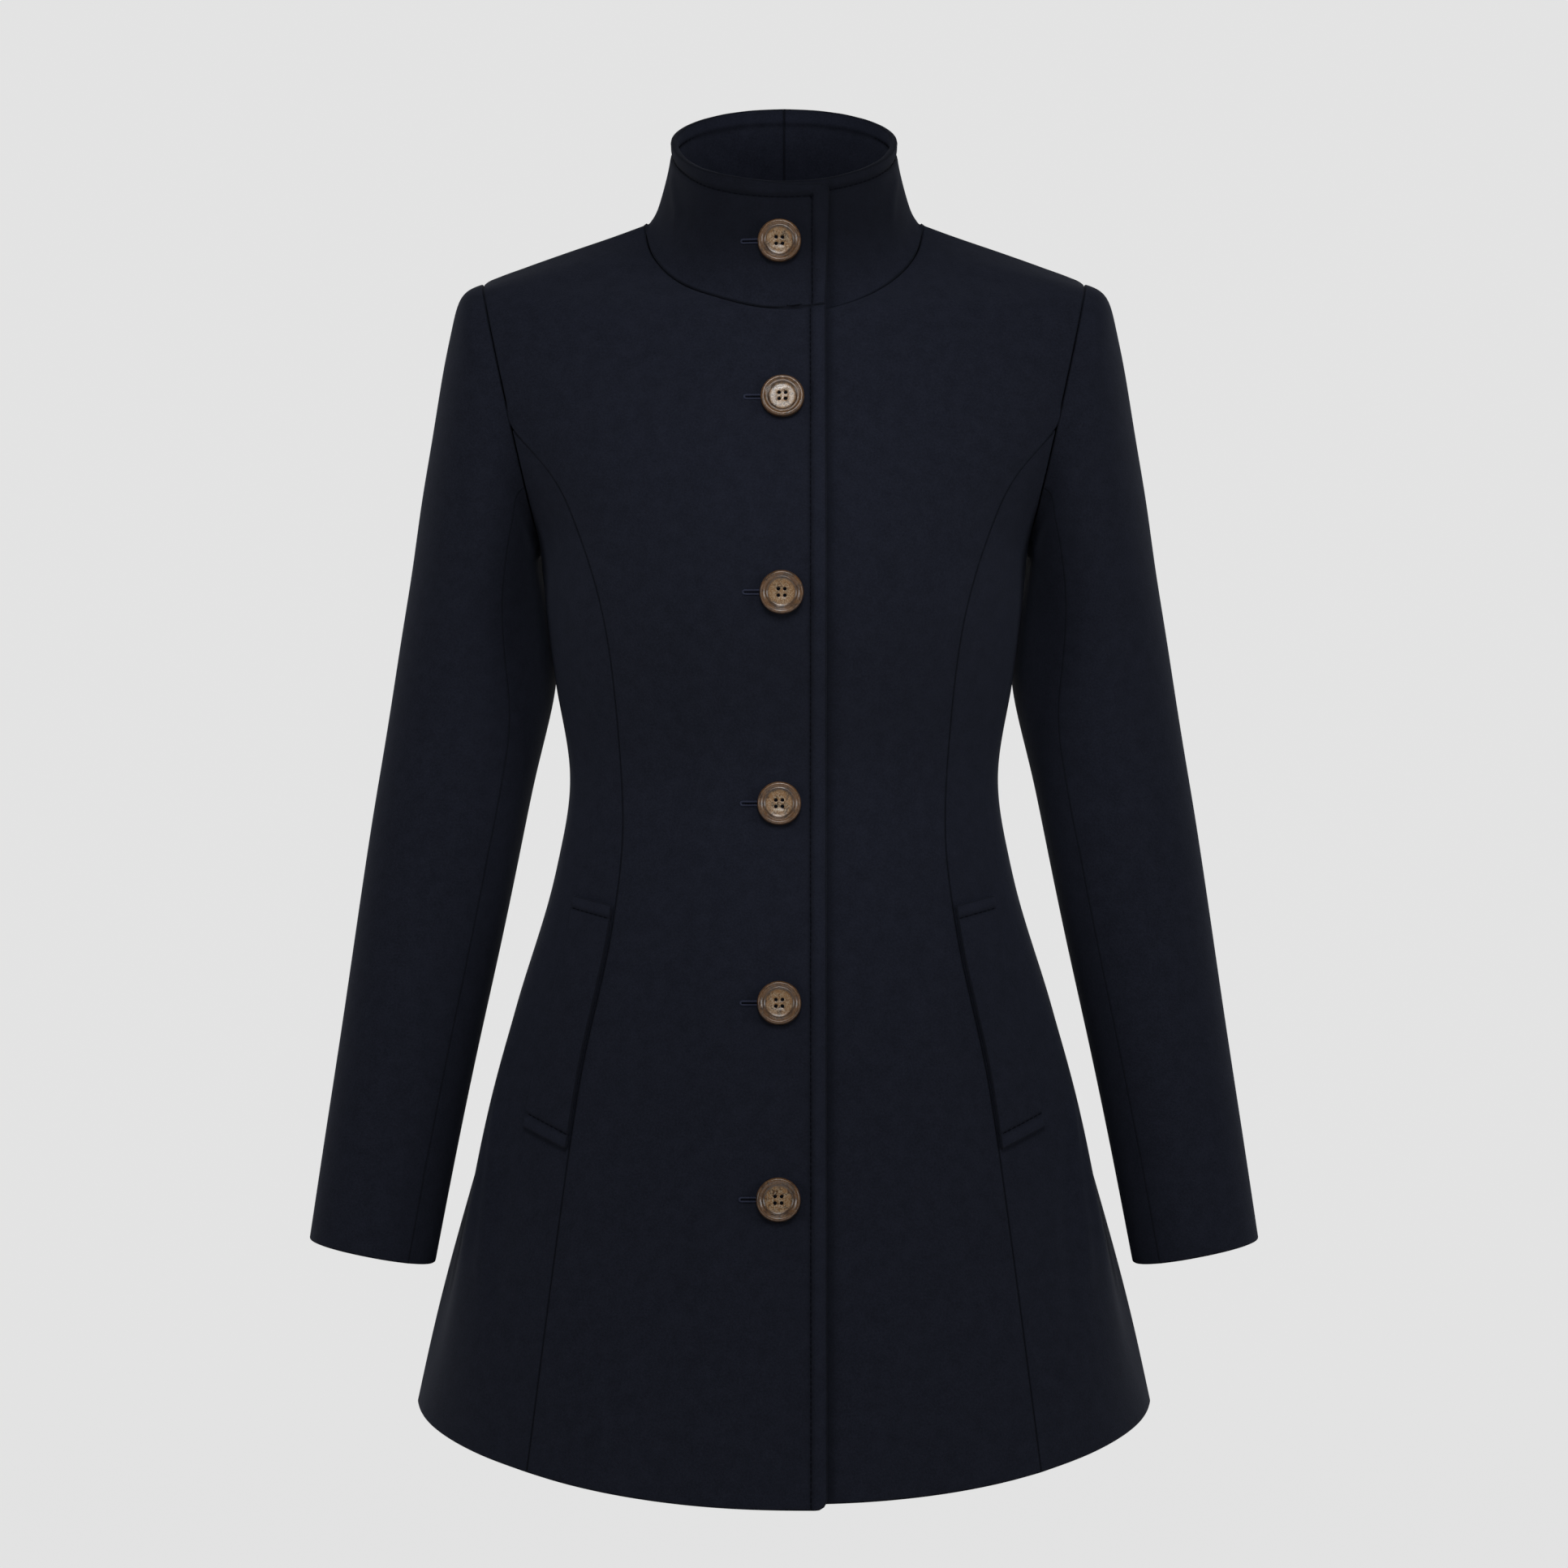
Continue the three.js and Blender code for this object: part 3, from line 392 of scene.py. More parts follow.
def horn_polyester(settings):
    """Cast polyester in horn colours, turned and tumbled to a gloss: streaks of brown pearl that
    are darker round the rim, under a clear polished skin"""
    material, tree = new_material("horn_polyester")
    place = add_node(tree, "ShaderNodeTexCoord")
    # The UV map holds the place on the button's face, from 0 to 1 across it
    middle = add_node(tree, "ShaderNodeVectorMath", {
        0: place.outputs["UV"], 1: (0.5, 0.5, 0.0)}, operation="SUBTRACT")
    radius = add_node(tree, "ShaderNodeVectorMath", {0: middle.outputs["Vector"]}, operation="LENGTH")
    # Streaks of pearl about 4 mm long, with flecks of 0.7 mm between them
    streaks = add_node(tree, "ShaderNodeTexNoise", {
        "Vector": place.outputs["Object"], "Scale": 1 / 0.0045, "Detail": 4.0, "Roughness": 0.65,
        "Distortion": 1.2})
    flecks = add_node(tree, "ShaderNodeTexNoise", {
        "Vector": place.outputs["Object"], "Scale": 1 / 0.0009, "Detail": 2.0, "Roughness": 0.6})
    edge = add_node(tree, "ShaderNodeMapRange", {
        "Value": radius.outputs["Value"], "From Min": 0.24, "From Max": 0.40},
        interpolation_type="SMOOTHSTEP")
    base = add_node(tree, "ShaderNodeMix", {
        "Factor": edge.outputs["Result"], "A": linear(settings.dish_colour),
        "B": linear(settings.rim_colour)}, data_type="RGBA")
    dark = add_node(tree, "ShaderNodeMapRange", {
        "Value": streaks.outputs["Fac"], "From Min": 0.48, "From Max": 0.62, "To Max": 0.8},
        interpolation_type="SMOOTHSTEP")
    streaked = add_node(tree, "ShaderNodeMix", {
        "Factor": dark.outputs["Result"], "A": base.outputs["Result"],
        "B": linear(settings.mottle_colour)}, data_type="RGBA")
    # Pale flecks, most in the dish: pearl near its surface, and a painted reflection of its whitish gloss
    in_dish = add_node(tree, "ShaderNodeMapRange", {
        "Value": radius.outputs["Value"], "From Min": 0.2, "From Max": 0.36,
        "To Min": 0.6, "To Max": 0.12})
    pale = add_node(tree, "ShaderNodeMapRange", {
        "Value": flecks.outputs["Fac"], "From Min": 0.46, "From Max": 0.58,
        "To Max": in_dish.outputs["Result"]})
    colour = add_node(tree, "ShaderNodeMix", {
        "Factor": pale.outputs["Result"], "A": streaked.outputs["Result"],
        "B": linear("#BFAE94")}, data_type="RGBA")
    # Painted shade: the foot of the rim's inner wall, in its shallow valley, is darkened to the darkest
    # ring
    ring = add_node(tree, "ShaderNodeMapRange", {
        "Value": radius.outputs["Value"], "From Min": 0.395, "From Max": 0.33, "To Max": 1.0},
        interpolation_type="SMOOTHSTEP")
    ring_inside = add_node(tree, "ShaderNodeMapRange", {
        "Value": radius.outputs["Value"], "From Min": 0.285, "From Max": 0.33, "To Max": 0.7},
        interpolation_type="SMOOTHSTEP")
    valley_shade = add_node(tree, "ShaderNodeMath", {
        0: ring.outputs["Result"], 1: ring_inside.outputs["Result"]}, operation="MULTIPLY")
    colour = add_node(tree, "ShaderNodeMix", {
        "Factor": valley_shade.outputs["Value"], "A": colour.outputs["Result"],
        "B": linear(settings.mottle_colour)}, data_type="RGBA")
    shader = add_node(tree, "ShaderNodeBsdfPrincipled", {
        "Base Color": colour.outputs["Result"], "Roughness": 0.32, "IOR": 1.5,
        "Coat Weight": 0.25, "Coat Roughness": 0.15})
    add_node(tree, "ShaderNodeOutputMaterial", {"Surface": shader.outputs["BSDF"]})
    return material


def backdrop_paper(settings):
    """Matt studio paper, rolled smooth, lit so evenly that it shows one pale tone"""
    material, tree = new_material("backdrop_paper")
    shader = add_node(tree, "ShaderNodeBsdfPrincipled", {
        "Base Color": linear("#6E6E6E"), "Roughness": 1.0, "Specular IOR Level": 0.0,
        "Emission Color": linear(settings.backdrop_colour), "Emission Strength": 0.985})
    add_node(tree, "ShaderNodeOutputMaterial", {"Surface": shader.outputs["BSDF"]})
    return material


def material_once(make, settings):
    """The material that a function makes and is named for, made when it is first asked for"""
    return bpy.data.materials.get(make.__name__) or make(settings)


def select_only(*pieces):
    """Leaves just these objects selected, with the first one active"""
    bpy.ops.object.select_all(action="DESELECT")
    for piece in pieces:
        piece.select_set(True)
    bpy.context.view_layer.objects.active = pieces[0]


def apply_modifiers(piece):
    """Applies every modifier of a piece, in order"""
    select_only(piece)
    for modifier in list(piece.modifiers):
        bpy.ops.object.modifier_apply(modifier=modifier.name)


@contextmanager
def opened(piece):
    """A piece's mesh, opened for editing and put back afterwards"""
    mesh = bmesh.new()
    mesh.from_mesh(piece.data)
    yield mesh
    mesh.to_mesh(piece.data)
    mesh.free()


def corners_of(mesh):
    """The places of a mesh's corners, one row each"""
    places = np.empty(len(mesh.vertices) * 3)
    mesh.vertices.foreach_get("co", places)
    return places.reshape(-1, 3)


def directions_of(mesh):
    """The normals at a mesh's corners, one row each"""
    directions = np.empty(len(mesh.vertices) * 3)
    mesh.vertex_normals.foreach_get("vector", directions)
    return directions.reshape(-1, 3)


def move_corners(mesh, places):
    """Puts a mesh's corners at these places"""
    mesh.vertices.foreach_set("co", places.ravel())
    mesh.update()


def in_armhole(face):
    """Whether a face lies in the plane of an armhole"""
    across = Vector((ARMHOLE_TOP[0] - ARMHOLE_BOTTOM[0], 0, ARMHOLE_TOP[1] - ARMHOLE_BOTTOM[1]))
    normal = Vector((across.z, 0, -across.x)).normalized()
    foot = Vector((ARMHOLE_BOTTOM[0], 0, ARMHOLE_BOTTOM[1]))
    return all(
        abs((Vector((abs(corner.co.x), 0, corner.co.z)) - foot).dot(normal)) < ARMHOLE_NEARNESS
        for corner in face.verts)


def is_end(face, kind):
    """Whether a face is an end of a wall that its outer side meets at a blunt angle"""
    if kind.startswith("sleeve"):
        return in_armhole(face)
    return kind == "collar" and face.normal.z < FOOT_FACING


def outer_side(mesh, kind):
    """The faces of a wall's outer side: of the two largest parts of it that no sharp edge crosses,
    the one that faces away from the middle of the coat, or of the sleeve"""
    sleeve_middle = sum((corner.co for corner in mesh.verts), Vector()) / len(mesh.verts)

    def facing(face):
        place = face.calc_center_median()
        middle = sleeve_middle if kind.startswith("sleeve") else Vector((0, 0, place.z))
        return face.calc_area() * face.normal.dot(place - middle)

    left = {face for face in mesh.faces if not is_end(face, kind)}
    parts = []
    while left:
        front = [left.pop()]
        part = set(front)
        while front:
            for edge in front.pop().edges:
                for face in edge.link_faces:
                    if face in left and edge.calc_face_angle(0) < RIM_TURN:
                        left.discard(face)
                        part.add(face)
                        front.append(face)
        parts.append(part)
    parts.sort(key=lambda part: sum(face.calc_area() for face in part))
    return max(parts[-2:], key=lambda part: sum(facing(face) for face in part))


def spread_diagonals(first_face, first_diagonal):
    """Follows the diagonals of a grid of split squares from one face to the next"""
    diagonals = {first_face: first_diagonal}
    front = [first_face]
    while front:
        face = front.pop()
        opposite = next(corner for corner in face.verts if corner not in diagonals[face].verts)
        for edge in face.edges:
            for other in edge.link_faces:
                if other == face:
                    continue
                if edge == diagonals[face]:
                    guess = edge
                else:
                    guess = next(side for side in other.edges if side != edge and opposite in side.verts)
                if other not in diagonals:
                    diagonals[other] = guess
                    front.append(other)
                elif diagonals[other] != guess:
                    return None
    if any(len(edge.link_faces) != 2 for edge in diagonals.values()):
        return None
    return list(set(diagonals.values()))


def grid_sheet(node_name, kind):
    """A new piece: the outer side of a node's cloth, as an open grid of four-sided faces"""
    mesh = bmesh.new()
    mesh.from_mesh(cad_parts[node_name].data)
    bmesh.ops.remove_doubles(mesh, verts=mesh.verts, dist=SAME_PLACE)
    kept = outer_side(mesh, kind)
    bmesh.ops.delete(mesh, geom=[face for face in mesh.faces if face not in kept], context="FACES")
    mesh.faces.ensure_lookup_table()
    first = mesh.faces[0]
    guesses = [spread_diagonals(first, edge) for edge in first.edges]
    diagonals = [guess for guess in guesses if guess]
    if len(diagonals) != 1:
        raise RuntimeError(f"{node_name}: the cloth's grid isn't clear, {len(diagonals)} ways")
    bmesh.ops.dissolve_edges(mesh, edges=diagonals[0], use_verts=False)
    if any(len(face.verts) != 4 for face in mesh.faces):
        raise RuntimeError(f"{node_name}: the cloth has faces that aren't four-sided")
    keep_corners(mesh)
    data = bpy.data.meshes.new(f"cloth_{node_name}")
    mesh.to_mesh(data)
    mesh.free()
    piece = bpy.data.objects.new(data.name, data)
    bpy.context.scene.collection.objects.link(piece)
    return piece


def keep_corners(mesh):
    """Marks the sharp corners along a sheet's edge, so that dividing it keeps them"""
    crease = mesh.verts.layers.float.new("crease_vert")
    for corner in mesh.verts:
        sides = [edge for edge in corner.link_edges if edge.is_boundary]
        if len(sides) == 2:
            one, other = (edge.other_vert(corner).co - corner.co for edge in sides)
            if one.angle(other) < STRAIGHT_ENOUGH:
                corner[crease] = 1.0


def smooth_sheet(piece, levels, guide):
    """Divides a sheet's faces into a smooth surface that keeps close to their corners"""
    select_only(piece)
    bpy.ops.object.modifier_add(type="SUBSURF")
    modifier = piece.modifiers[-1]
    modifier.levels = modifier.render_levels = levels
    modifier.boundary_smooth = "PRESERVE_CORNERS"
    aim = corners_of(piece.data)
    seen = piece.evaluated_get(bpy.context.evaluated_depsgraph_get())
    move_corners(piece.data, aim + (aim - corners_of(seen.data)[:len(aim)]))
    bpy.context.view_layer.update()
    apply_modifiers(piece)
    with opened(piece) as mesh:
        unfold(mesh, guide)


def surface_of(piece):
    """A piece's surface as it is now, to find the nearest place and normal on it"""
    return BVHTree.FromPolygons(
        [tuple(corner.co) for corner in piece.data.vertices],
        [tuple(face.vertices) for face in piece.data.polygons])


def unfold(mesh, guide):
    """Eases inner corners apart where dividing or moving them has turned faces over, as happens in
    the narrow tips beside slanting edges"""
    aims = {face: guide.find_nearest(face.calc_center_median())[1] for face in mesh.faces}
    for _ in range(UNFOLD_PASSES):
        mesh.normal_update()
        turned = [face for face in mesh.faces if face.normal.dot(aims[face]) < FACING_ENOUGH]
        corners = {
            corner for face in turned for near in face.verts for edge in near.link_edges
            for corner in edge.verts if not corner.is_boundary}
        if not corners:
            break
        bmesh.ops.smooth_vert(
            mesh, verts=list(corners), factor=0.5, use_axis_x=True, use_axis_y=True, use_axis_z=True)


def ways_in(mesh, guide):
    """For each corner on a sheet's edge, the way along the cloth, whose surface a guide gives, that
    takes its edges in by one"""
    found = {}
    for edge in mesh.edges:
        if not edge.is_boundary:
            continue
        start, end = edge.link_loops[0].vert.co, edge.link_loops[0].link_loop_next.vert.co
        normal = guide.find_nearest((start + end) / 2)[1]
        way = normal.cross(end - start).normalized()
        for corner in edge.verts:
            found.setdefault(corner, []).append(way)
    return {
        corner: (ways[0] + ways[-1]) / max(0.5, 1 + ways[0].dot(ways[-1]))
        for corner, ways in found.items()}


def close_seams(piece, reach, guide):
    """Lets a sheet's edges out by a little, so that its seams close"""
    with opened(piece) as mesh:
        for corner, way in ways_in(mesh, guide).items():
            corner.co -= way * reach


def cut_lines(piece, planes):
    """Cuts lines into a sheet where planes, each a point and a normal, cross it"""
    with opened(piece) as mesh:
        for point, normal in planes:
            bmesh.ops.bisect_plane(
                mesh, geom=mesh.verts[:] + mesh.edges[:] + mesh.faces[:], dist=SAME_PLACE,
                plane_co=point, plane_no=normal)


class Groove:
    """A line that stitching draws into the cloth, with painted shade along it: where it runs, with its
    normal towards the edge that it follows, how wide and how deep, which way its stitches follow one
    another, and how far the edge lies. Without an order it is the painted shadow that the overlap's edge
    casts on the cloth under it, over a shallow dent."""

    def __init__(self, point, normal, width, depth, order=None, within=None, inset=None):
        self.point = Vector(point)
        self.normal = Vector(normal).normalized()
        self.width = width
        self.depth = depth
        self.order = order
        self.within = within or (lambda places: np.ones(len(places)))
        self.inset = inset

    def away(self, places):
        """How far places lie from the line, towards the edge"""
        return (places - np.array(self.point)) @ np.array(self.normal)

    def depths(self, places):
        """How far the cloth is drawn in at places"""
        return self.depth * np.exp(-(self.away(places) / self.width) ** 2) * self.within(places)

    def flatness(self, places):
        """Painted shading at places: shade along the line, and highlight in the strip between it and the
        edge
        """
        away = self.away(places)
        # Painted shade along the line; painted highlight in the strip beside it
        flat = GROOVE_SHADE * np.exp(-(away / self.width) ** 2)
        if self.inset:
            strip = np.exp(-((away / self.inset - STRIP_MIDDLE) / STRIP_WIDTH) ** 2) * (away > 0)
            flat = flat - STRIP_HIGHLIGHT * strip
        return flat * self.within(places)

    def planes(self):
        """Planes side by side, to cut the cloth along the line"""
        return [(self.point + self.normal * share * self.width, self.normal) for share in GROOVE_CUTS]

    def course(self, places, normals):
        """The places and normals along the middle of the line, in order"""
        on_line = np.flatnonzero((np.abs(self.away(places)) < ON_LINE) & (self.within(places) > 0.5))
        ordered = on_line[np.argsort(self.order(places[on_line]))]
        return places[ordered], normals[ordered]


def raise_folds(piece, folds):
    """Lifts or sinks a sheet along soft folds. A fold has a path of (x, z) places seen from the
    front or the back, a half width and a height at its middle, and it fades out at its ends."""
    if not folds:
        return
    places, directions = corners_of(piece.data), directions_of(piece.data)
    lift = np.zeros(len(places))
    for fold in folds:
        towards = -directions[:, 1] if fold["view"] == "front" else directions[:, 1]
        seen = np.flatnonzero(towards > -FOLD_FACING)
        path = []
        for x, z in dense_path(fold["path"]):
            nearest = seen[np.argmin((places[seen, 0] - x) ** 2 + (places[seen, 2] - z) ** 2)]
            path.append([x, places[nearest, 1], z])
        away, along = distance_to_path(places, np.array(path))
        ends = np.clip(np.minimum(
            along / fold.get("start", FOLD_FADE), (1 - along) / fold.get("end", FOLD_FADE)), 0, 1)
        lift += fold["height"] * np.exp(-(away / fold["width"]) ** 2) * ends * ends * (3 - 2 * ends)
    move_corners(piece.data, places + directions * lift[:, None])


def dense_path(path, steps=4):
    """A path with points added between its own, on a smooth curve through them"""
    points = [np.array(point, float) for point in path]
    padded = [2 * points[0] - points[1], *points, 2 * points[-1] - points[-2]]
    found = []
    for before, start, end, after in zip(padded, padded[1:], padded[2:], padded[3:]):
        for t in np.arange(steps) / steps:
            found.append(0.5 * (2 * start + (end - before) * t
                                + (2 * before - 5 * start + 4 * end - after) * t ** 2
                                + (3 * start - before - 3 * end + after) * t ** 3))
    return [*found, points[-1]]


def distance_to_path(places, path):
    """How far each place is from a path, and how far along it the nearest point lies, from 0 to 1"""
    best = np.full(len(places), np.inf)
    along = np.zeros(len(places))
    lengths = np.linalg.norm(np.diff(path, axis=0), axis=1)
    starts = np.concatenate([[0], np.cumsum(lengths)])
    for k, length in enumerate(lengths):
        way = (path[k + 1] - path[k]) / length
        share = np.clip((places - path[k]) @ way, 0, length)
        away = np.linalg.norm(places - path[k] - share[:, None] * way, axis=1)
        nearer = away < best
        best[nearer] = away[nearer]
        along[nearer] = (starts[k] + share[nearer]) / starts[-1]
    return best, along


def round_corner(piece, aim, radius):
    """Rounds the sheet's corner that lies nearest to a place"""
    with opened(piece) as mesh:
        ends = [corner for corner in mesh.verts if len(corner.link_faces) == 1]
        tip = min(ends, key=lambda corner: (corner.co - Vector(aim)).length)
        foot = tip.co.copy()
        one, other = ((foot - edge.other_vert(tip).co).normalized() for edge in tip.link_edges)
        for corner in mesh.verts:
            away = foot - corner.co
            if away.length > 2 * radius:
                continue
            a, b = (max(0, min(1, 1 - away.dot(way) / radius)) for way in (one, other))
            corner.co += one * radius * a * (math.sqrt(1 - b * b / 2) - 1)
            corner.co += other * radius * b * (math.sqrt(1 - a * a / 2) - 1)


def ease_edges(mesh, ways, reach):
    """Takes a sheet's edges in, and the corners near them less and less"""
    edge_corners = list(ways)
    tree = KDTree(len(edge_corners))
    for i, corner in enumerate(edge_corners):
        tree.insert(corner.co, i)
    tree.balance()
    span = EASE_SPAN * reach
    moves = {corner: way * reach for corner, way in ways.items()}
    for corner in mesh.verts:
        if corner in ways:
            continue
        nearest = edge_corners[tree.find(corner.co)[1]]
        feet = []
        for edge in nearest.link_edges:
            if edge.is_boundary:
                foot, share = intersect_point_line(corner.co, edge.verts[0].co, edge.verts[1].co)
                feet.append(edge.verts[0].co.lerp(edge.verts[1].co, max(0, min(1, share))))
        away = min((corner.co - foot for foot in feet), key=lambda gap: gap.length)
        if SAME_PLACE < away.length < span:
            moves[corner] = away.normalized() * reach * (1 - away.length / span)
    for corner, move in moves.items():
        corner.co += move


def thicken(piece, cloth, radius, guide):
    """Makes a sheet a wall, inwards, with rounded edges that carry painted shade; returns its
    outer corners' places and normals"""
    with opened(piece) as mesh:
        mesh.normal_update()
        ways = ways_in(mesh, guide)
        ease_edges(mesh, ways, radius)
        unfold(mesh, guide)
        outer = [(corner.co.copy(), corner.normal.copy()) for corner in mesh.verts]
        inner = {corner: mesh.verts.new(corner.co - corner.normal * cloth) for corner in mesh.verts[:]}
        turns = [math.pi / 2 * step / EDGE_STEPS for step in range(1, EDGE_STEPS + 1)]
        arc = [(radius * (1 - math.sin(turn)), radius * (1 - math.cos(turn))) for turn in turns]
        profile = arc + [(inwards, cloth - down) for inwards, down in reversed(arc)]
        rim = {}
        for corner, way in ways.items():
            edge_place = corner.co - way * radius
            between = [mesh.verts.new(edge_place + way * inwards - corner.normal * down)
                       for inwards, down in profile]
            rim[corner] = [corner, *between, inner[corner]]
        for edge in [edge for edge in mesh.edges if edge.is_boundary]:
            loop = edge.link_loops[0]
            start, end = rim[loop.vert], rim[loop.link_loop_next.vert]
            for k in range(len(start) - 1):
                mesh.faces.new((end[k], start[k], start[k + 1], end[k + 1]))
        for face in [face for face in mesh.faces if all(corner in inner for corner in face.verts)]:
            mesh.faces.new([inner[corner] for corner in reversed(face.verts)])
        mesh.verts.index_update()
        amounts = np.zeros(len(mesh.verts))
        # Painted shade on the rounded rims, at seams and free edges alike
        for corners in rim.values():
            for corner in corners[1:-1]:
                amounts[corner.index] = SEAM_SHADE
    press_nap(piece, amounts)
    return np.array([place for place, _ in outer]), np.array([normal for _, normal in outer])


def press_nap(piece, amounts):
    """Paints shade at a piece's corners, each by its amount; an amount below 0 paints highlight"""
    attributes = piece.data.attributes
    layer = attributes.get(SHADING_ATTRIBUTE) or attributes.new(SHADING_ATTRIBUTE, "FLOAT", "POINT")
    before = np.empty(len(piece.data.vertices))
    layer.data.foreach_get("value", before)
    layer.data.foreach_set("value", np.clip(before + amounts * (1 - before), -1, 1))


def draw_in(piece, sheet, cloth, grooves):
    """Draws both faces of the cloth in along the stitching"""
    if not grooves:
        return
    points, directions = sheet
    tree = KDTree(len(points))
    for i, point in enumerate(points):
        tree.insert(point, i)
    tree.balance()
    places = corners_of(piece.data)
    # Painted shade along the stitching and under the overlap's edge, painted highlight beside the
    # stitching
    press_nap(piece, sum(groove.flatness(places) for groove in grooves))
    depths = sum(groove.depths(places) for groove in grooves)
    for i in np.flatnonzero(depths > SAME_PLACE):
        _, nearest, _ = tree.find(places[i])
        direction = directions[nearest]
        side = 1 + 2 * np.dot(places[i] - points[nearest], direction) / cloth
        places[i] -= direction * depths[i] * np.clip(side, -1, 1)
    move_corners(piece.data, places)


def finish_piece(piece, material, slot, *nodes):
    """Shades a piece smoothly, gives it its material and makes it ride on the coat"""
    piece.data.materials.clear()
    piece.data.materials.append(material)
    select_only(piece)
    bpy.ops.object.shade_smooth()
    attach(piece, BODY)
    if nodes:
        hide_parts(*nodes)


def stitch_shape(settings):
    """One stitch: a grain of thread along +X"""
    bpy.ops.object.select_all(action="DESELECT")
    bpy.ops.mesh.primitive_uv_sphere_add(segments=6, ring_count=5, radius=1, rotation=(0, math.pi / 2, 0))
    grain = bpy.context.object
    length = settings.stitch_length * STITCH_HALF
    bpy.ops.object.transform_apply(location=False, rotation=True, scale=False)
    grain.scale = (length, settings.thread, settings.thread * STITCH_HEIGHT)
    bpy.ops.object.transform_apply(location=False, rotation=False, scale=True)
    shape = corners_of(grain.data), [tuple(face.vertices) for face in grain.data.polygons]
    bpy.data.objects.remove(grain)
    return shape


def lay_stitches(context, name, courses):
    """One piece with a stitch at every step of each course of places and normals"""
    settings = context.scene.coat_cloth
    grain, grain_faces = stitch_shape(settings)
    corners, faces = [], []
    for places, normals in courses:
        lengths = np.concatenate([[0], np.cumsum(np.linalg.norm(np.diff(places, axis=0), axis=1))])
        for middle in np.arange(settings.stitch_length * 0.5, lengths[-1], settings.stitch_length):
            place, up, ahead, behind = (
                np.array([np.interp(at, lengths, column) for column in values.T])
                for at, values in ((middle, places), (middle, normals),
                                   (middle + settings.stitch_length / 2, places),
                                   (middle - settings.stitch_length / 2, places)))
            along = (ahead - behind) / np.linalg.norm(ahead - behind)
            across = np.cross(up, along)
            across /= np.linalg.norm(across)
            turn = np.array([along, across, np.cross(along, across)])
            faces += [tuple(i + len(corners) for i in face) for face in grain_faces]
            corners += list(place + grain @ turn)
    data = bpy.data.meshes.new(name)
    data.from_pydata(corners, [], faces)
    piece = bpy.data.objects.new(name, data)
    context.scene.collection.objects.link(piece)
    finish_piece(piece, material_once(sewing_thread, settings), "wool_cloth")


def sew_cloth(context, kind, side, folds=(), grooves=(), corners=()):
    """Makes the cut piece of one kind and side from its node, with the stitches in its grooves"""
    settings = context.scene.coat_cloth
    node_name = f"{kind}_{side}"
    cut = CUTS[kind]
    piece = grid_sheet(node_name, kind)
    guide = surface_of(piece)
    smooth_sheet(piece, settings.levels, guide)
    close_seams(piece, SLEEVE_LET_OUT if kind.startswith("sleeve") else LET_OUT, guide)
    if grooves:
        cut_lines(piece, [plane for groove in grooves for plane in groove.planes()])
    raise_folds(piece, folds)
    for aim, radius in corners:
        round_corner(piece, aim, radius)
    sheet = thicken(piece, cut["cloth"], cut["round"], guide)
    draw_in(piece, sheet, cut["cloth"], grooves)
    finish_piece(piece, material_once(melton_wool, settings), "wool_cloth", node_name)
    courses = []
    for groove in [groove for groove in grooves if groove.order]:
        places, normals = groove.course(*sheet)
        courses.append((places - normals * groove.depth * STITCH_SUNK, normals))
        if kind == "collar":
            courses.append((places - normals * (cut["cloth"] - groove.depth * STITCH_SUNK), -normals))
    if courses:
        lay_stitches(context, f"stitches_{node_name}", courses)
    return piece


def mirrored(folds):
    """The same folds on the coat's other side"""
    return [{**fold, "path": [(-x, z) for x, z in fold["path"]]} for fold in folds]


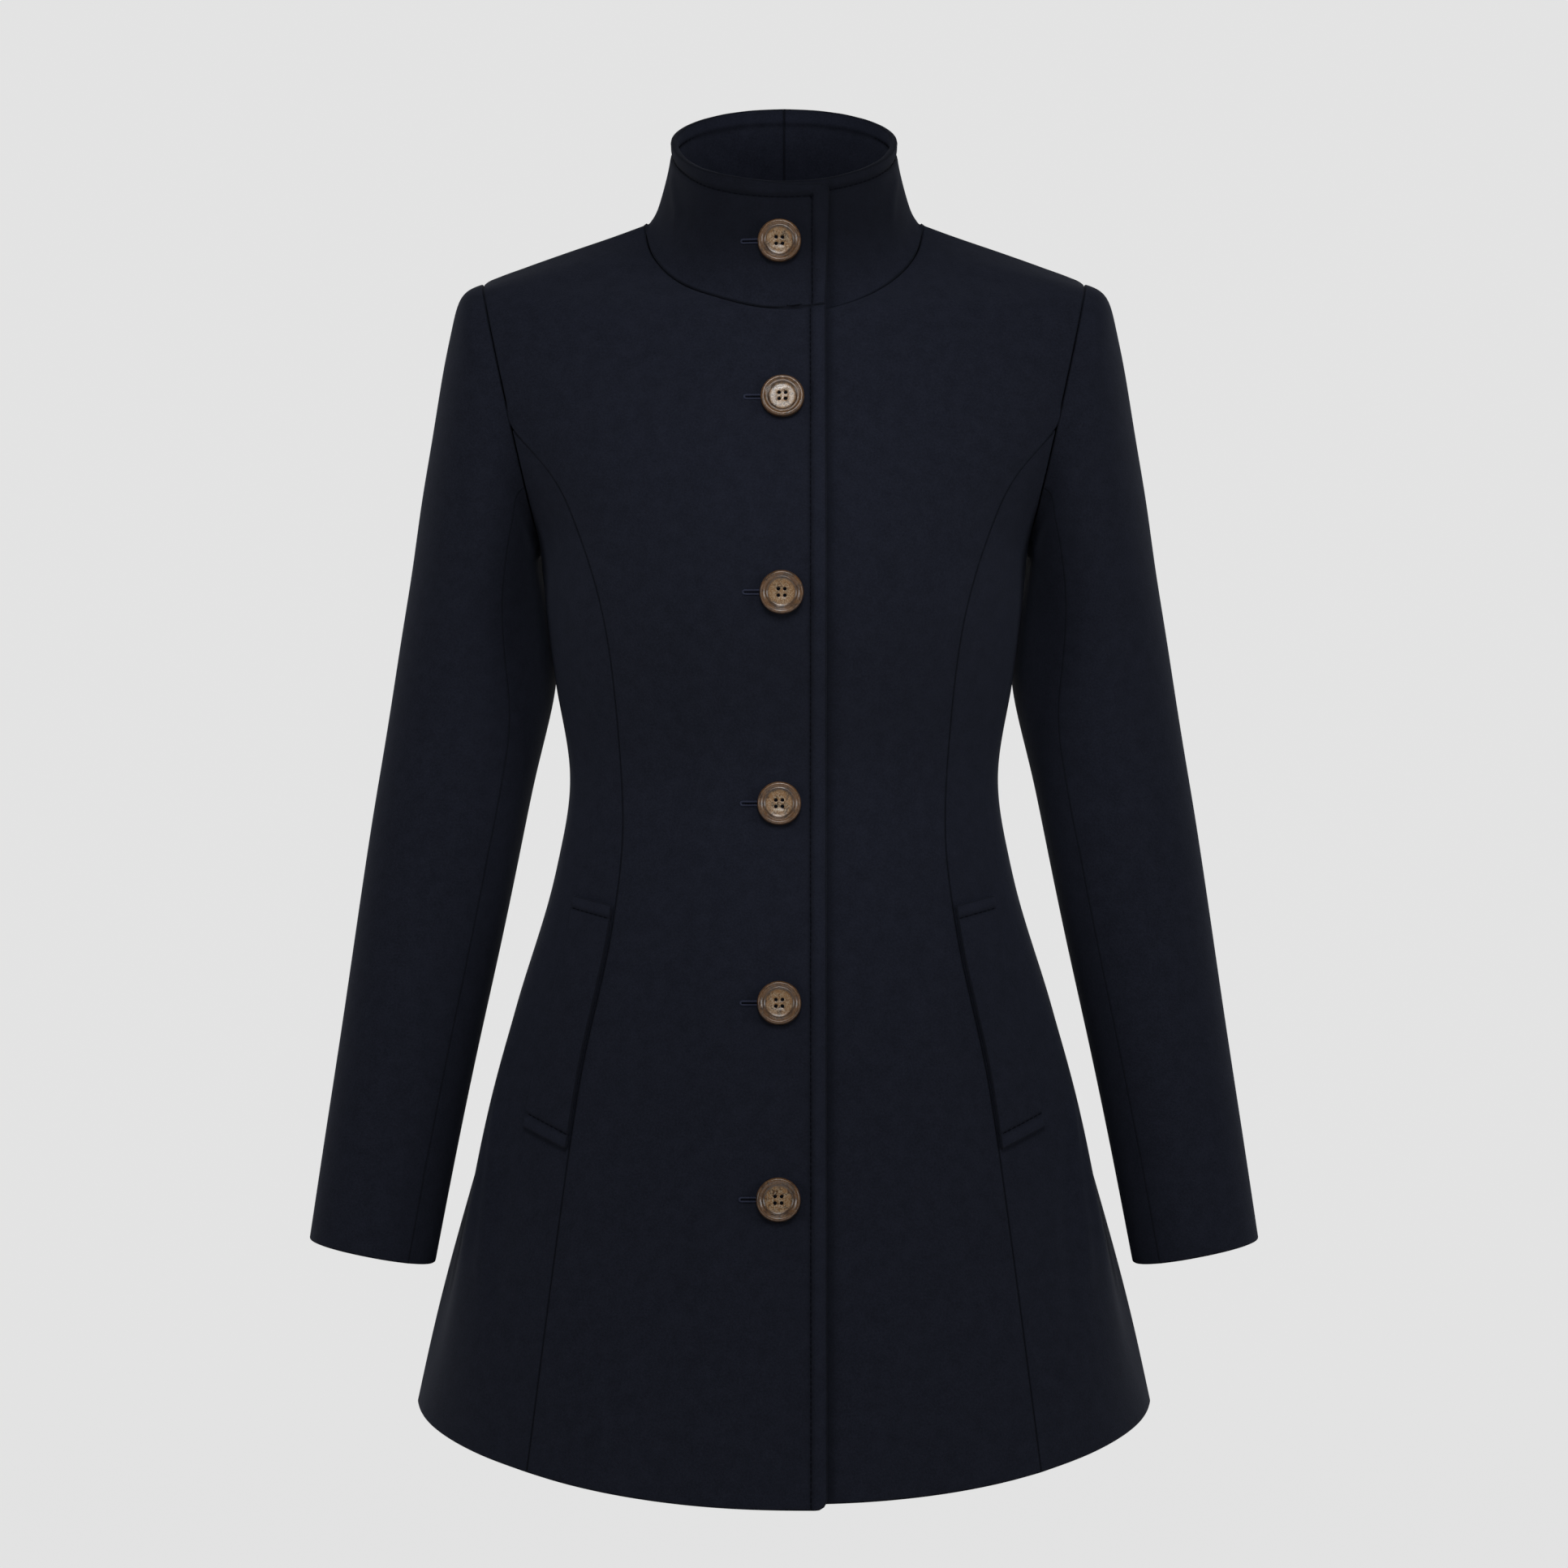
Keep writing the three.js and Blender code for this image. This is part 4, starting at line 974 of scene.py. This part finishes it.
# Folds of the wearer's right side, by the kind of piece that they lie on
FOLDS = {
    "front": [
        {"view": "front", "path": [(-0.060, -0.360), (-0.082, -0.372), (-0.100, -0.378)],
         "width": 0.010, "height": -0.0006},
    ],
    "side_front": [
        {"view": "front", "path": [(-0.1839, -0.555), (-0.1888, -0.629), (-0.1958, -0.700)],
         "width": 0.006, "height": 0.0022},
        {"view": "front", "path": [(-0.1760, -0.590), (-0.1800, -0.650), (-0.1850, -0.730)],
         "width": 0.007, "height": -0.0012},
        {"view": "front", "path": [(-0.2010, -0.622), (-0.2120, -0.674), (-0.2190, -0.702)],
         "width": 0.005, "height": 0.0012},
    ],
    "back": [
        {"view": "back", "path": [(-0.150, -0.560), (-0.158, -0.660), (-0.163, -0.730)],
         "width": 0.008, "height": 0.0018},
        {"view": "back", "path": [(-0.040, -0.352), (-0.075, -0.366), (-0.108, -0.370)],
         "width": 0.011, "height": -0.0012},
        {"view": "back", "path": [(-0.118, -0.215), (-0.128, -0.262), (-0.126, -0.318)],
         "width": 0.009, "height": 0.0012},
        {"view": "back", "path": [(-0.070, -0.600), (-0.078, -0.690), (-0.074, -0.765)],
         "width": 0.012, "height": -0.0015, "end": 0.1},
    ],
    "collar": [
        {"view": "front", "path": [(-0.0745, 0.032), (-0.0700, 0.010), (-0.0690, -0.010)],
         "width": 0.0045, "height": 0.0010},
    ],
    "sleeve_top": [
        {"view": "front", "path": [(-0.176, -0.345), (-0.196, -0.372), (-0.224, -0.384)],
         "width": 0.009, "height": -0.0011},
        {"view": "front", "path": [(-0.186, -0.402), (-0.210, -0.418), (-0.232, -0.420)],
         "width": 0.010, "height": -0.0008},
        {"view": "front", "path": [(-0.222, -0.600), (-0.246, -0.618), (-0.262, -0.622)],
         "width": 0.010, "height": -0.0007},
        {"view": "back", "path": [(-0.262, -0.330), (-0.240, -0.352), (-0.214, -0.360)],
         "width": 0.010, "height": -0.0014},
        {"view": "back", "path": [(-0.268, -0.392), (-0.248, -0.404), (-0.222, -0.400)],
         "width": 0.009, "height": -0.0010},
    ],
    "sleeve_under": [
        {"view": "front", "path": [(-0.1605, -0.200), (-0.1605, -0.214), (-0.160, -0.228)],
         "width": 0.016, "height": 0.0022, "start": 0.1},
        {"view": "back", "path": [(-0.178, -0.350), (-0.200, -0.362), (-0.222, -0.362)],
         "width": 0.009, "height": -0.0012},
        {"view": "back", "path": [(-0.190, -0.410), (-0.212, -0.418), (-0.228, -0.412)],
         "width": 0.008, "height": -0.0009},
    ],
}


def folds_of(kind, side):
    """The folds of one kind of piece on one side"""
    return FOLDS[kind] if side == "right" else mirrored(FOLDS[kind])


def down_the_coat(places):
    """The order of places from the collar to the hem"""
    return -places[:, 2]


def across_the_coat(places):
    """The order of places from the wearer's right to the left"""
    return places[:, 0]


def round_the_neck(places):
    """The order of places round the neck, from the centre back past the wearer's right"""
    return np.arctan2(places[:, 0], -places[:, 1])


def collar_line(settings):
    """A point on the stitching line below the collar's slanted top edge, and the way to the edge"""
    rise = COLLAR_TOP["back_z"] - COLLAR_TOP["front_z"]
    run = COLLAR_TOP["back_y"] - COLLAR_TOP["front_y"]
    normal = Vector((0, -rise / run, 1)).normalized()
    point = Vector((0, COLLAR_TOP["front_y"], COLLAR_TOP["front_z"])) - normal * settings.collar_inset
    return point, normal


def edge_groove(settings, edge, within=None):
    """The stitching line down beside the overlap's upright edge"""
    return Groove((edge - settings.stitch_inset, 0, 0), (1, 0, 0), settings.groove_width,
                  settings.groove_depth, down_the_coat, within, settings.stitch_inset)


def lap_mark(edge, within=None):
    """The painted shadow that the overlap's upright edge casts on the cloth under it, over a shallow dent
    """
    return Groove((edge, 0, 0), (1, 0, 0), LAP_SHADOW_WIDTH, LAP_DENT_DEPTH, within=within)


class COAT_OT_body(bpy.types.Operator):
    """Make the fronts, side fronts and backs"""

    bl_idname = "coat.body"
    bl_label = "Body"

    def execute(self, context):
        settings = context.scene.coat_cloth
        for side in SIDES:
            if side == "right":
                groove = edge_groove(settings, FRONT_EDGE)
            else:
                groove = lap_mark(FRONT_EDGE + LAP_SHADOW_GAP["front"])
            hem = ((LAP_END[side], *HEM_CORNER), settings.corner)
            sew_cloth(context, "front", side, folds_of("front", side), [groove], [hem])
            sew_cloth(context, "side_front", side, folds_of("side_front", side))
            sew_cloth(context, "back", side, folds_of("back", side))
        return {"FINISHED"}


class COAT_OT_collar(bpy.types.Operator):
    """Make the two halves of the standing collar"""

    bl_idname = "coat.collar"
    bl_label = "Collar"

    def execute(self, context):
        settings = context.scene.coat_cloth
        point, normal = collar_line(settings)
        turn_x = COLLAR_FRONT_EDGE - settings.stitch_inset

        def behind_the_end(places):
            return (places[:, 0] < turn_x + ON_LINE) * 1.0

        def in_front(places):
            return (places[:, 1] < 0) * 1.0

        def below_the_top(places):
            below = (places - np.array(point)) @ np.array(normal) < ON_LINE
            return below * (places[:, 1] < 0) * 1.0

        for side in SIDES:
            grooves = [Groove(point, normal, settings.groove_width, settings.groove_depth, round_the_neck,
                              behind_the_end if side == "right" else None, settings.collar_inset)]
            if side == "right":
                grooves.append(edge_groove(settings, COLLAR_FRONT_EDGE, below_the_top))
            else:
                grooves.append(lap_mark(COLLAR_FRONT_EDGE + LAP_SHADOW_GAP["collar"], in_front))
            end = ((LAP_END[side], COLLAR_TOP["front_y"], COLLAR_TOP["front_z"]), settings.corner)
            piece = sew_cloth(context, "collar", side, folds_of("collar", side), grooves, [end])
            self.press_outside(piece)
        return {"FINISHED"}

    def press_outside(self, piece):
        """Paints shade on the outside of the collar, more and more
        from the neck seam up"""
        places, directions = corners_of(piece.data), directions_of(piece.data)
        height = places[:, 2] - np.interp(places[:, 1], COLLAR_FOOT["y"], COLLAR_FOOT["z"])
        outside = (places[:, :2] * directions[:, :2]).sum(axis=1) > 0
        share = np.clip((height - COLLAR_SHADE_FROM) / COLLAR_SHADE_RISE, 0, 1)
        press_nap(piece, COLLAR_SHADE * outside * share)


class COAT_OT_sleeves(bpy.types.Operator):
    """Make the top sleeves and the under sleeves"""

    bl_idname = "coat.sleeves"
    bl_label = "Sleeves"

    def execute(self, context):
        for side in SIDES:
            for kind in ("sleeve_top", "sleeve_under"):
                sew_cloth(context, kind, side, folds_of(kind, side))
        return {"FINISHED"}


class COAT_OT_welts(bpy.types.Operator):
    """Make the slanted welts of the pockets"""

    bl_idname = "coat.welts"
    bl_label = "Welts"

    def execute(self, context):
        settings = context.scene.coat_cloth
        for side, sign in (("right", -1), ("left", 1)):
            grooves = []
            for end, inwards in (("top", -1), ("bottom", 1)):
                inner, outer = (Vector((sign * x, 0, z)) for x, z in WELT_ENDS[end])
                along = (outer - inner).normalized()
                normal = Vector((-along.z, 0, along.x)) * sign * -inwards
                point = inner - normal * settings.welt_inset
                grooves.append(Groove(point, normal, settings.groove_width * WELT_GROOVE,
                                      settings.groove_depth * WELT_GROOVE, across_the_coat,
                                      inset=settings.welt_inset))
            sew_cloth(context, "welt", side, (), grooves)
        return {"FINISHED"}


def disc_place(node_name):
    """The middle of a button's foot, and a turn that takes +Z to its face and +Y up"""
    places = corners_of(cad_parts[node_name].data)
    middle = places.mean(axis=0)
    _, _, axes = np.linalg.svd(places - middle, full_matrices=False)
    face = Vector(axes[2])
    if face.y > 0:
        face = -face
    foot = ((places - middle) @ np.array(face)).min()
    right = Vector((0, 0, 1)).cross(face).normalized()
    turn = Matrix((right, face.cross(right), face)).transposed()
    box = (places - middle) @ np.array(turn)
    shift = (box.max(axis=0) + box.min(axis=0)) / 2
    origin = Vector(middle) + turn @ Vector((shift[0], shift[1], foot))
    return Matrix.Translation(origin) @ turn.to_4x4()


def placed_copy(piece, name, place):
    """A copy of a piece with its own mesh, moved to a place that its corners then hold"""
    copy = bpy.data.objects.new(name, piece.data.copy())
    copy.data.transform(place)
    bpy.context.scene.collection.objects.link(copy)
    return copy


class COAT_OT_buttons(bpy.types.Operator):
    """Make the turned horn buttons with their holes and thread"""

    bl_idname = "coat.buttons"
    bl_label = "Buttons"

    def execute(self, context):
        settings = context.scene.coat_button
        button = self.turned_button(settings)
        self.mark_face(button, settings)
        thread = self.button_thread(settings)
        horn = material_once(horn_polyester, settings)
        spun = material_once(sewing_thread, context.scene.coat_cloth)
        for name in BUTTONS:
            place = disc_place(name)
            finish_piece(placed_copy(button, f"horn_{name}", place), horn, "horn_button", name)
            bpy.ops.object.shade_smooth_by_angle(angle=math.radians(50))
            finish_piece(placed_copy(thread, f"thread_{name}", place), spun, "wool_cloth")
        bpy.data.objects.remove(button)
        bpy.data.objects.remove(thread)
        return {"FINISHED"}

    def hole_places(self, settings):
        """Where the four holes lie across the button"""
        reach = settings.hole_offset
        return [(x * reach, y * reach) for x in (-1, 1) for y in (-1, 1)]

    def turned_button(self, settings):
        """A disc drawn up through its turned outline, with four drilled holes"""
        thick = settings.thickness
        bpy.ops.object.select_all(action="DESELECT")
        bpy.ops.mesh.primitive_circle_add(
            vertices=BUTTON_STEPS, radius=settings.radius * BUTTON_FOOT, fill_type="NGON")
        button = bpy.context.object
        bpy.ops.object.mode_set(mode="EDIT")
        bpy.ops.mesh.select_all(action="SELECT")
        reach, level = BUTTON_FOOT, 0.0
        for share, height in BUTTON_OUTLINE:
            bpy.ops.mesh.extrude_region_move(
                TRANSFORM_OT_translate={"value": (0, 0, (height - level) * thick)})
            bpy.ops.transform.resize(value=(share / reach, share / reach, 1))
            reach, level = share, height
        bpy.ops.object.mode_set(mode="OBJECT")
        self.close_foot(button)
        drills = []
        for x, y in self.hole_places(settings):
            bpy.ops.object.select_all(action="DESELECT")
            bpy.ops.mesh.primitive_cylinder_add(
                vertices=20, radius=settings.hole_radius, depth=thick * 3, location=(x, y, 0))
            drills.append(bpy.context.object)
        select_only(*drills)
        bpy.ops.object.join()
        drill = bpy.context.object
        select_only(button)
        bpy.ops.object.modifier_add(type="BOOLEAN")
        cut = button.modifiers[-1]
        cut.operation = "DIFFERENCE"
        cut.solver = "EXACT"
        cut.object = drill
        bpy.ops.object.modifier_add(type="BEVEL")
        bevel = button.modifiers[-1]
        bevel.width = BUTTON_BEVEL
        bevel.segments = 2
        bevel.limit_method = "ANGLE"
        bevel.angle_limit = math.radians(60)
        apply_modifiers(button)
        bpy.data.objects.remove(drill)
        return button

    def close_foot(self, button):
        """Closes the disc's underside, which the drawing up leaves open"""
        select_only(button)
        bpy.ops.object.mode_set(mode="EDIT")
        bpy.ops.mesh.select_all(action="DESELECT")
        bpy.ops.mesh.select_mode(type="EDGE")
        bpy.ops.mesh.select_non_manifold()
        if bpy.context.object.data.total_edge_sel:
            bpy.ops.mesh.edge_face_add()
        bpy.ops.mesh.select_all(action="SELECT")
        bpy.ops.mesh.normals_make_consistent(inside=False)
        bpy.ops.object.mode_set(mode="OBJECT")

    def mark_face(self, button, settings):
        """A UV map that holds the place on the button's face, from 0 to 1 across it"""
        layers = button.data.uv_layers
        layer = layers[0] if layers else layers.new(name="face")
        places = corners_of(button.data) / (2 * settings.radius) + 0.5
        for loop in button.data.loops:
            layer.data[loop.index].uv = places[loop.vertex_index, :2]

    def button_thread(self, settings):
        """Thread that fills the holes, level with the bottom of the dish"""
        plugs = []
        for x, y in self.hole_places(settings):
            bpy.ops.object.select_all(action="DESELECT")
            bpy.ops.mesh.primitive_uv_sphere_add(
                segments=12, ring_count=8, radius=settings.hole_radius * HOLE_THREAD_RADIUS,
                location=(x, y, settings.thickness * HOLE_THREAD_LEVEL))
            plugs.append(bpy.context.object)
        select_only(*plugs)
        bpy.ops.object.join()
        thread = bpy.context.object
        bpy.ops.object.transform_apply(location=True, rotation=True, scale=True)
        return thread


def lay_on(surface, places, proud):
    """Points that stand out by a little from a surface at places seen from the front"""
    points = []
    for x, z in places:
        point, normal, _, _ = surface.ray_cast(Vector((x, -1, z)), Vector((0, 1, 0)))
        if point is None:
            raise RuntimeError(f"no cloth at {x:.4f}, {z:.4f}")
        points.append(point + normal * proud)
    return points


class COAT_OT_buttonholes(bpy.types.Operator):
    """Make the worked edges of the buttonholes"""

    bl_idname = "coat.buttonholes"
    bl_label = "Buttonholes"

    def execute(self, context):
        cloth, settings = context.scene.coat_cloth, context.scene.coat_button
        for name in BUTTONS:
            centre = disc_place(name).translation
            over = "cloth_collar_right" if name == "button_collar" else "cloth_front_right"
            surface = surface_of(bpy.data.objects[over])
            tip = centre.x - settings.slot_reach
            end = centre.x + HOLE_INNER
            places = [(x, centre.z + z) for x, z in self.edge_places(tip, end)]
            path = lay_on(surface, places, HOLE_LIP * HOLE_PROUD)
            piece = self.worked_edge(path, HOLE_LIP, f"buttonhole_{name}")
            finish_piece(piece, material_once(buttonhole_twist, cloth), "wool_cloth")
            # A dark cord along the middle paints the shade inside the buttonhole's cut
            places = [(x, centre.z) for x in np.arange(tip + SLIT_START, end, SLIT_STEP)]
            piece = self.worked_edge(lay_on(surface, places, SLIT_PROUD), SLIT_RADIUS, f"slit_{name}")
            finish_piece(piece, material_once(sewing_thread, cloth), "wool_cloth")
        return {"FINISHED"}

    def edge_places(self, tip, end):
        """Places in even steps along a buttonhole's edge: out above the middle line, round its tip and
        back
        """
        half = HOLE_HALF
        turn, shoulder = tip + half * HOLE_ROUND, half * HOLE_SHOULDER
        outline = [(end, half), (tip + half, half), (turn, shoulder), (tip, 0),
                   (turn, -shoulder), (tip + half, -half), (end, -half)]
        places = []
        for (x0, z0), (x1, z1) in zip(outline, outline[1:]):
            count = max(1, round(abs(x1 - x0) / HOLE_STEP))
            places += [(x0 + (x1 - x0) * i / count, z0 + (z1 - z0) * i / count) for i in range(count)]
        return [*places, outline[-1]]

    def worked_edge(self, path, radius, name):
        """A cord of close stitches along a path, uneven where each stitch crosses it"""
        curve = bpy.data.curves.new(name, "CURVE")
        curve.dimensions = "3D"
        curve.bevel_depth = radius
        curve.bevel_resolution = 2
        curve.use_fill_caps = True
        spline = curve.splines.new("POLY")
        spline.points.add(len(path) - 1)
        for i, (point, place) in enumerate(zip(spline.points, path)):
            point.co = (*place, 1)
            point.radius = 1.0 if i % 2 else THIN_STITCH
        piece = bpy.data.objects.new(name, curve)
        bpy.context.scene.collection.objects.link(piece)
        select_only(piece)
        bpy.ops.object.convert(target="MESH")
        return bpy.context.object


class COAT_OT_stage(bpy.types.Operator):
    """Make the backdrop, lights and camera"""

    bl_idname = "coat.stage"
    bl_label = "Studio"

    def execute(self, context):
        settings = context.scene.coat_stage
        self.paper_sweep(settings)
        for name, place, size, power in SOFT_BOXES:
            light = self.add_light("AREA", name, place, SOFT_BOX_AIM, power)
            light.data.size = size
            light.visible_camera = False
        accent = self.add_light("SPOT", "accent", **ACCENT)
        accent.data.spot_size = ACCENT_ANGLE
        accent.data.spot_blend = 1.0
        accent.data.shadow_soft_size = ACCENT_SIZE
        world = bpy.data.worlds.new("studio")
        world.use_nodes = True
        background = world.node_tree.nodes["Background"]
        background.inputs["Color"].default_value = linear("#FFFFFF")
        background.inputs["Strength"].default_value = ROOM_LIGHT
        context.scene.world = world
        context.scene.view_settings.view_transform = "Standard"
        bpy.ops.object.camera_add(
            location=(0, -settings.camera_distance, settings.camera_level), rotation=(math.pi / 2, 0, 0))
        camera = bpy.context.object
        camera.data.sensor_width = SENSOR_WIDTH
        camera.data.lens = SENSOR_WIDTH * settings.camera_distance / settings.frame_width
        camera.data.clip_end = VIEW_DEPTH
        context.scene.camera = camera
        return {"FINISHED"}

    def paper_sweep(self, settings):
        """Paper on the floor that curves up behind the coat"""
        bpy.ops.object.select_all(action="DESELECT")
        bpy.ops.mesh.primitive_plane_add(size=1, location=(0, SWEEP_MIDDLE, settings.floor_level))
        sweep = bpy.context.object
        sweep.name = "studio_sweep"
        bpy.ops.transform.resize(value=(SWEEP_WIDTH, SWEEP_DEPTH, 1))
        bpy.ops.object.transform_apply(location=True, rotation=True, scale=True)
        bpy.ops.object.mode_set(mode="EDIT")
        bpy.ops.mesh.select_all(action="DESELECT")
        bpy.ops.object.mode_set(mode="OBJECT")
        for corner in sweep.data.vertices:
            corner.select = corner.co.y > SWEEP_MIDDLE
        for edge in sweep.data.edges:
            edge.select = all(sweep.data.vertices[i].select for i in edge.vertices)
        bpy.ops.object.mode_set(mode="EDIT")
        bpy.ops.mesh.select_mode(type="EDGE")
        bpy.ops.mesh.extrude_region_move(TRANSFORM_OT_translate={"value": (0, 0, SWEEP_HEIGHT)})
        bpy.ops.object.mode_set(mode="OBJECT")
        bpy.ops.object.modifier_add(type="BEVEL")
        bevel = sweep.modifiers[-1]
        bevel.width = SWEEP_CURVE
        bevel.segments = 16
        bevel.limit_method = "ANGLE"
        apply_modifiers(sweep)
        bpy.ops.object.shade_smooth()
        sweep.data.materials.append(material_once(backdrop_paper, settings))
        sweep.visible_diffuse = False

    def add_light(self, kind, name, place, aim, power):
        """A light that faces a point of the coat"""
        bpy.ops.object.select_all(action="DESELECT")
        bpy.ops.object.light_add(type=kind, location=place)
        light = bpy.context.object
        light.name = f"light_{name}"
        light.data.energy = power
        light.rotation_euler = (Vector(aim) - Vector(place)).to_track_quat("-Z", "Y").to_euler()
        return light


class COAT_PT_panel(bpy.types.Panel):
    """Lists the coat's pieces in the sidebar"""

    bl_label = "Coat"
    bl_idname = "COAT_PT_panel"
    bl_space_type = "VIEW_3D"
    bl_region_type = "UI"
    bl_category = "Coat"

    def draw(self, context):
        for operator in OPERATORS:
            self.layout.operator(operator.bl_idname)
        for settings in (context.scene.coat_cloth, context.scene.coat_button, context.scene.coat_stage):
            for name in settings.bl_rna.properties.keys():
                if name not in ("rna_type", "name"):
                    self.layout.prop(settings, name)


SETTINGS = {
    "coat_cloth": CoatClothSettings,
    "coat_button": CoatButtonSettings,
    "coat_stage": CoatStageSettings,
}
OPERATORS = (
    COAT_OT_body, COAT_OT_collar, COAT_OT_sleeves, COAT_OT_welts, COAT_OT_buttons,
    COAT_OT_buttonholes, COAT_OT_stage,
)
CLASSES = (*SETTINGS.values(), *OPERATORS, COAT_PT_panel)


def register():
    for item in CLASSES:
        bpy.utils.register_class(item)
    for name, group in SETTINGS.items():
        setattr(bpy.types.Scene, name, bpy.props.PointerProperty(type=group))


def unregister():
    for name in SETTINGS:
        delattr(bpy.types.Scene, name)
    for item in reversed(CLASSES):
        bpy.utils.unregister_class(item)


def main():
    register()
    bpy.ops.coat.body()
    bpy.ops.coat.collar()
    bpy.ops.coat.sleeves()
    bpy.ops.coat.welts()
    bpy.ops.coat.buttons()
    bpy.ops.coat.buttonholes()
    bpy.ops.coat.stage()


if __name__ == "__main__":
    main()
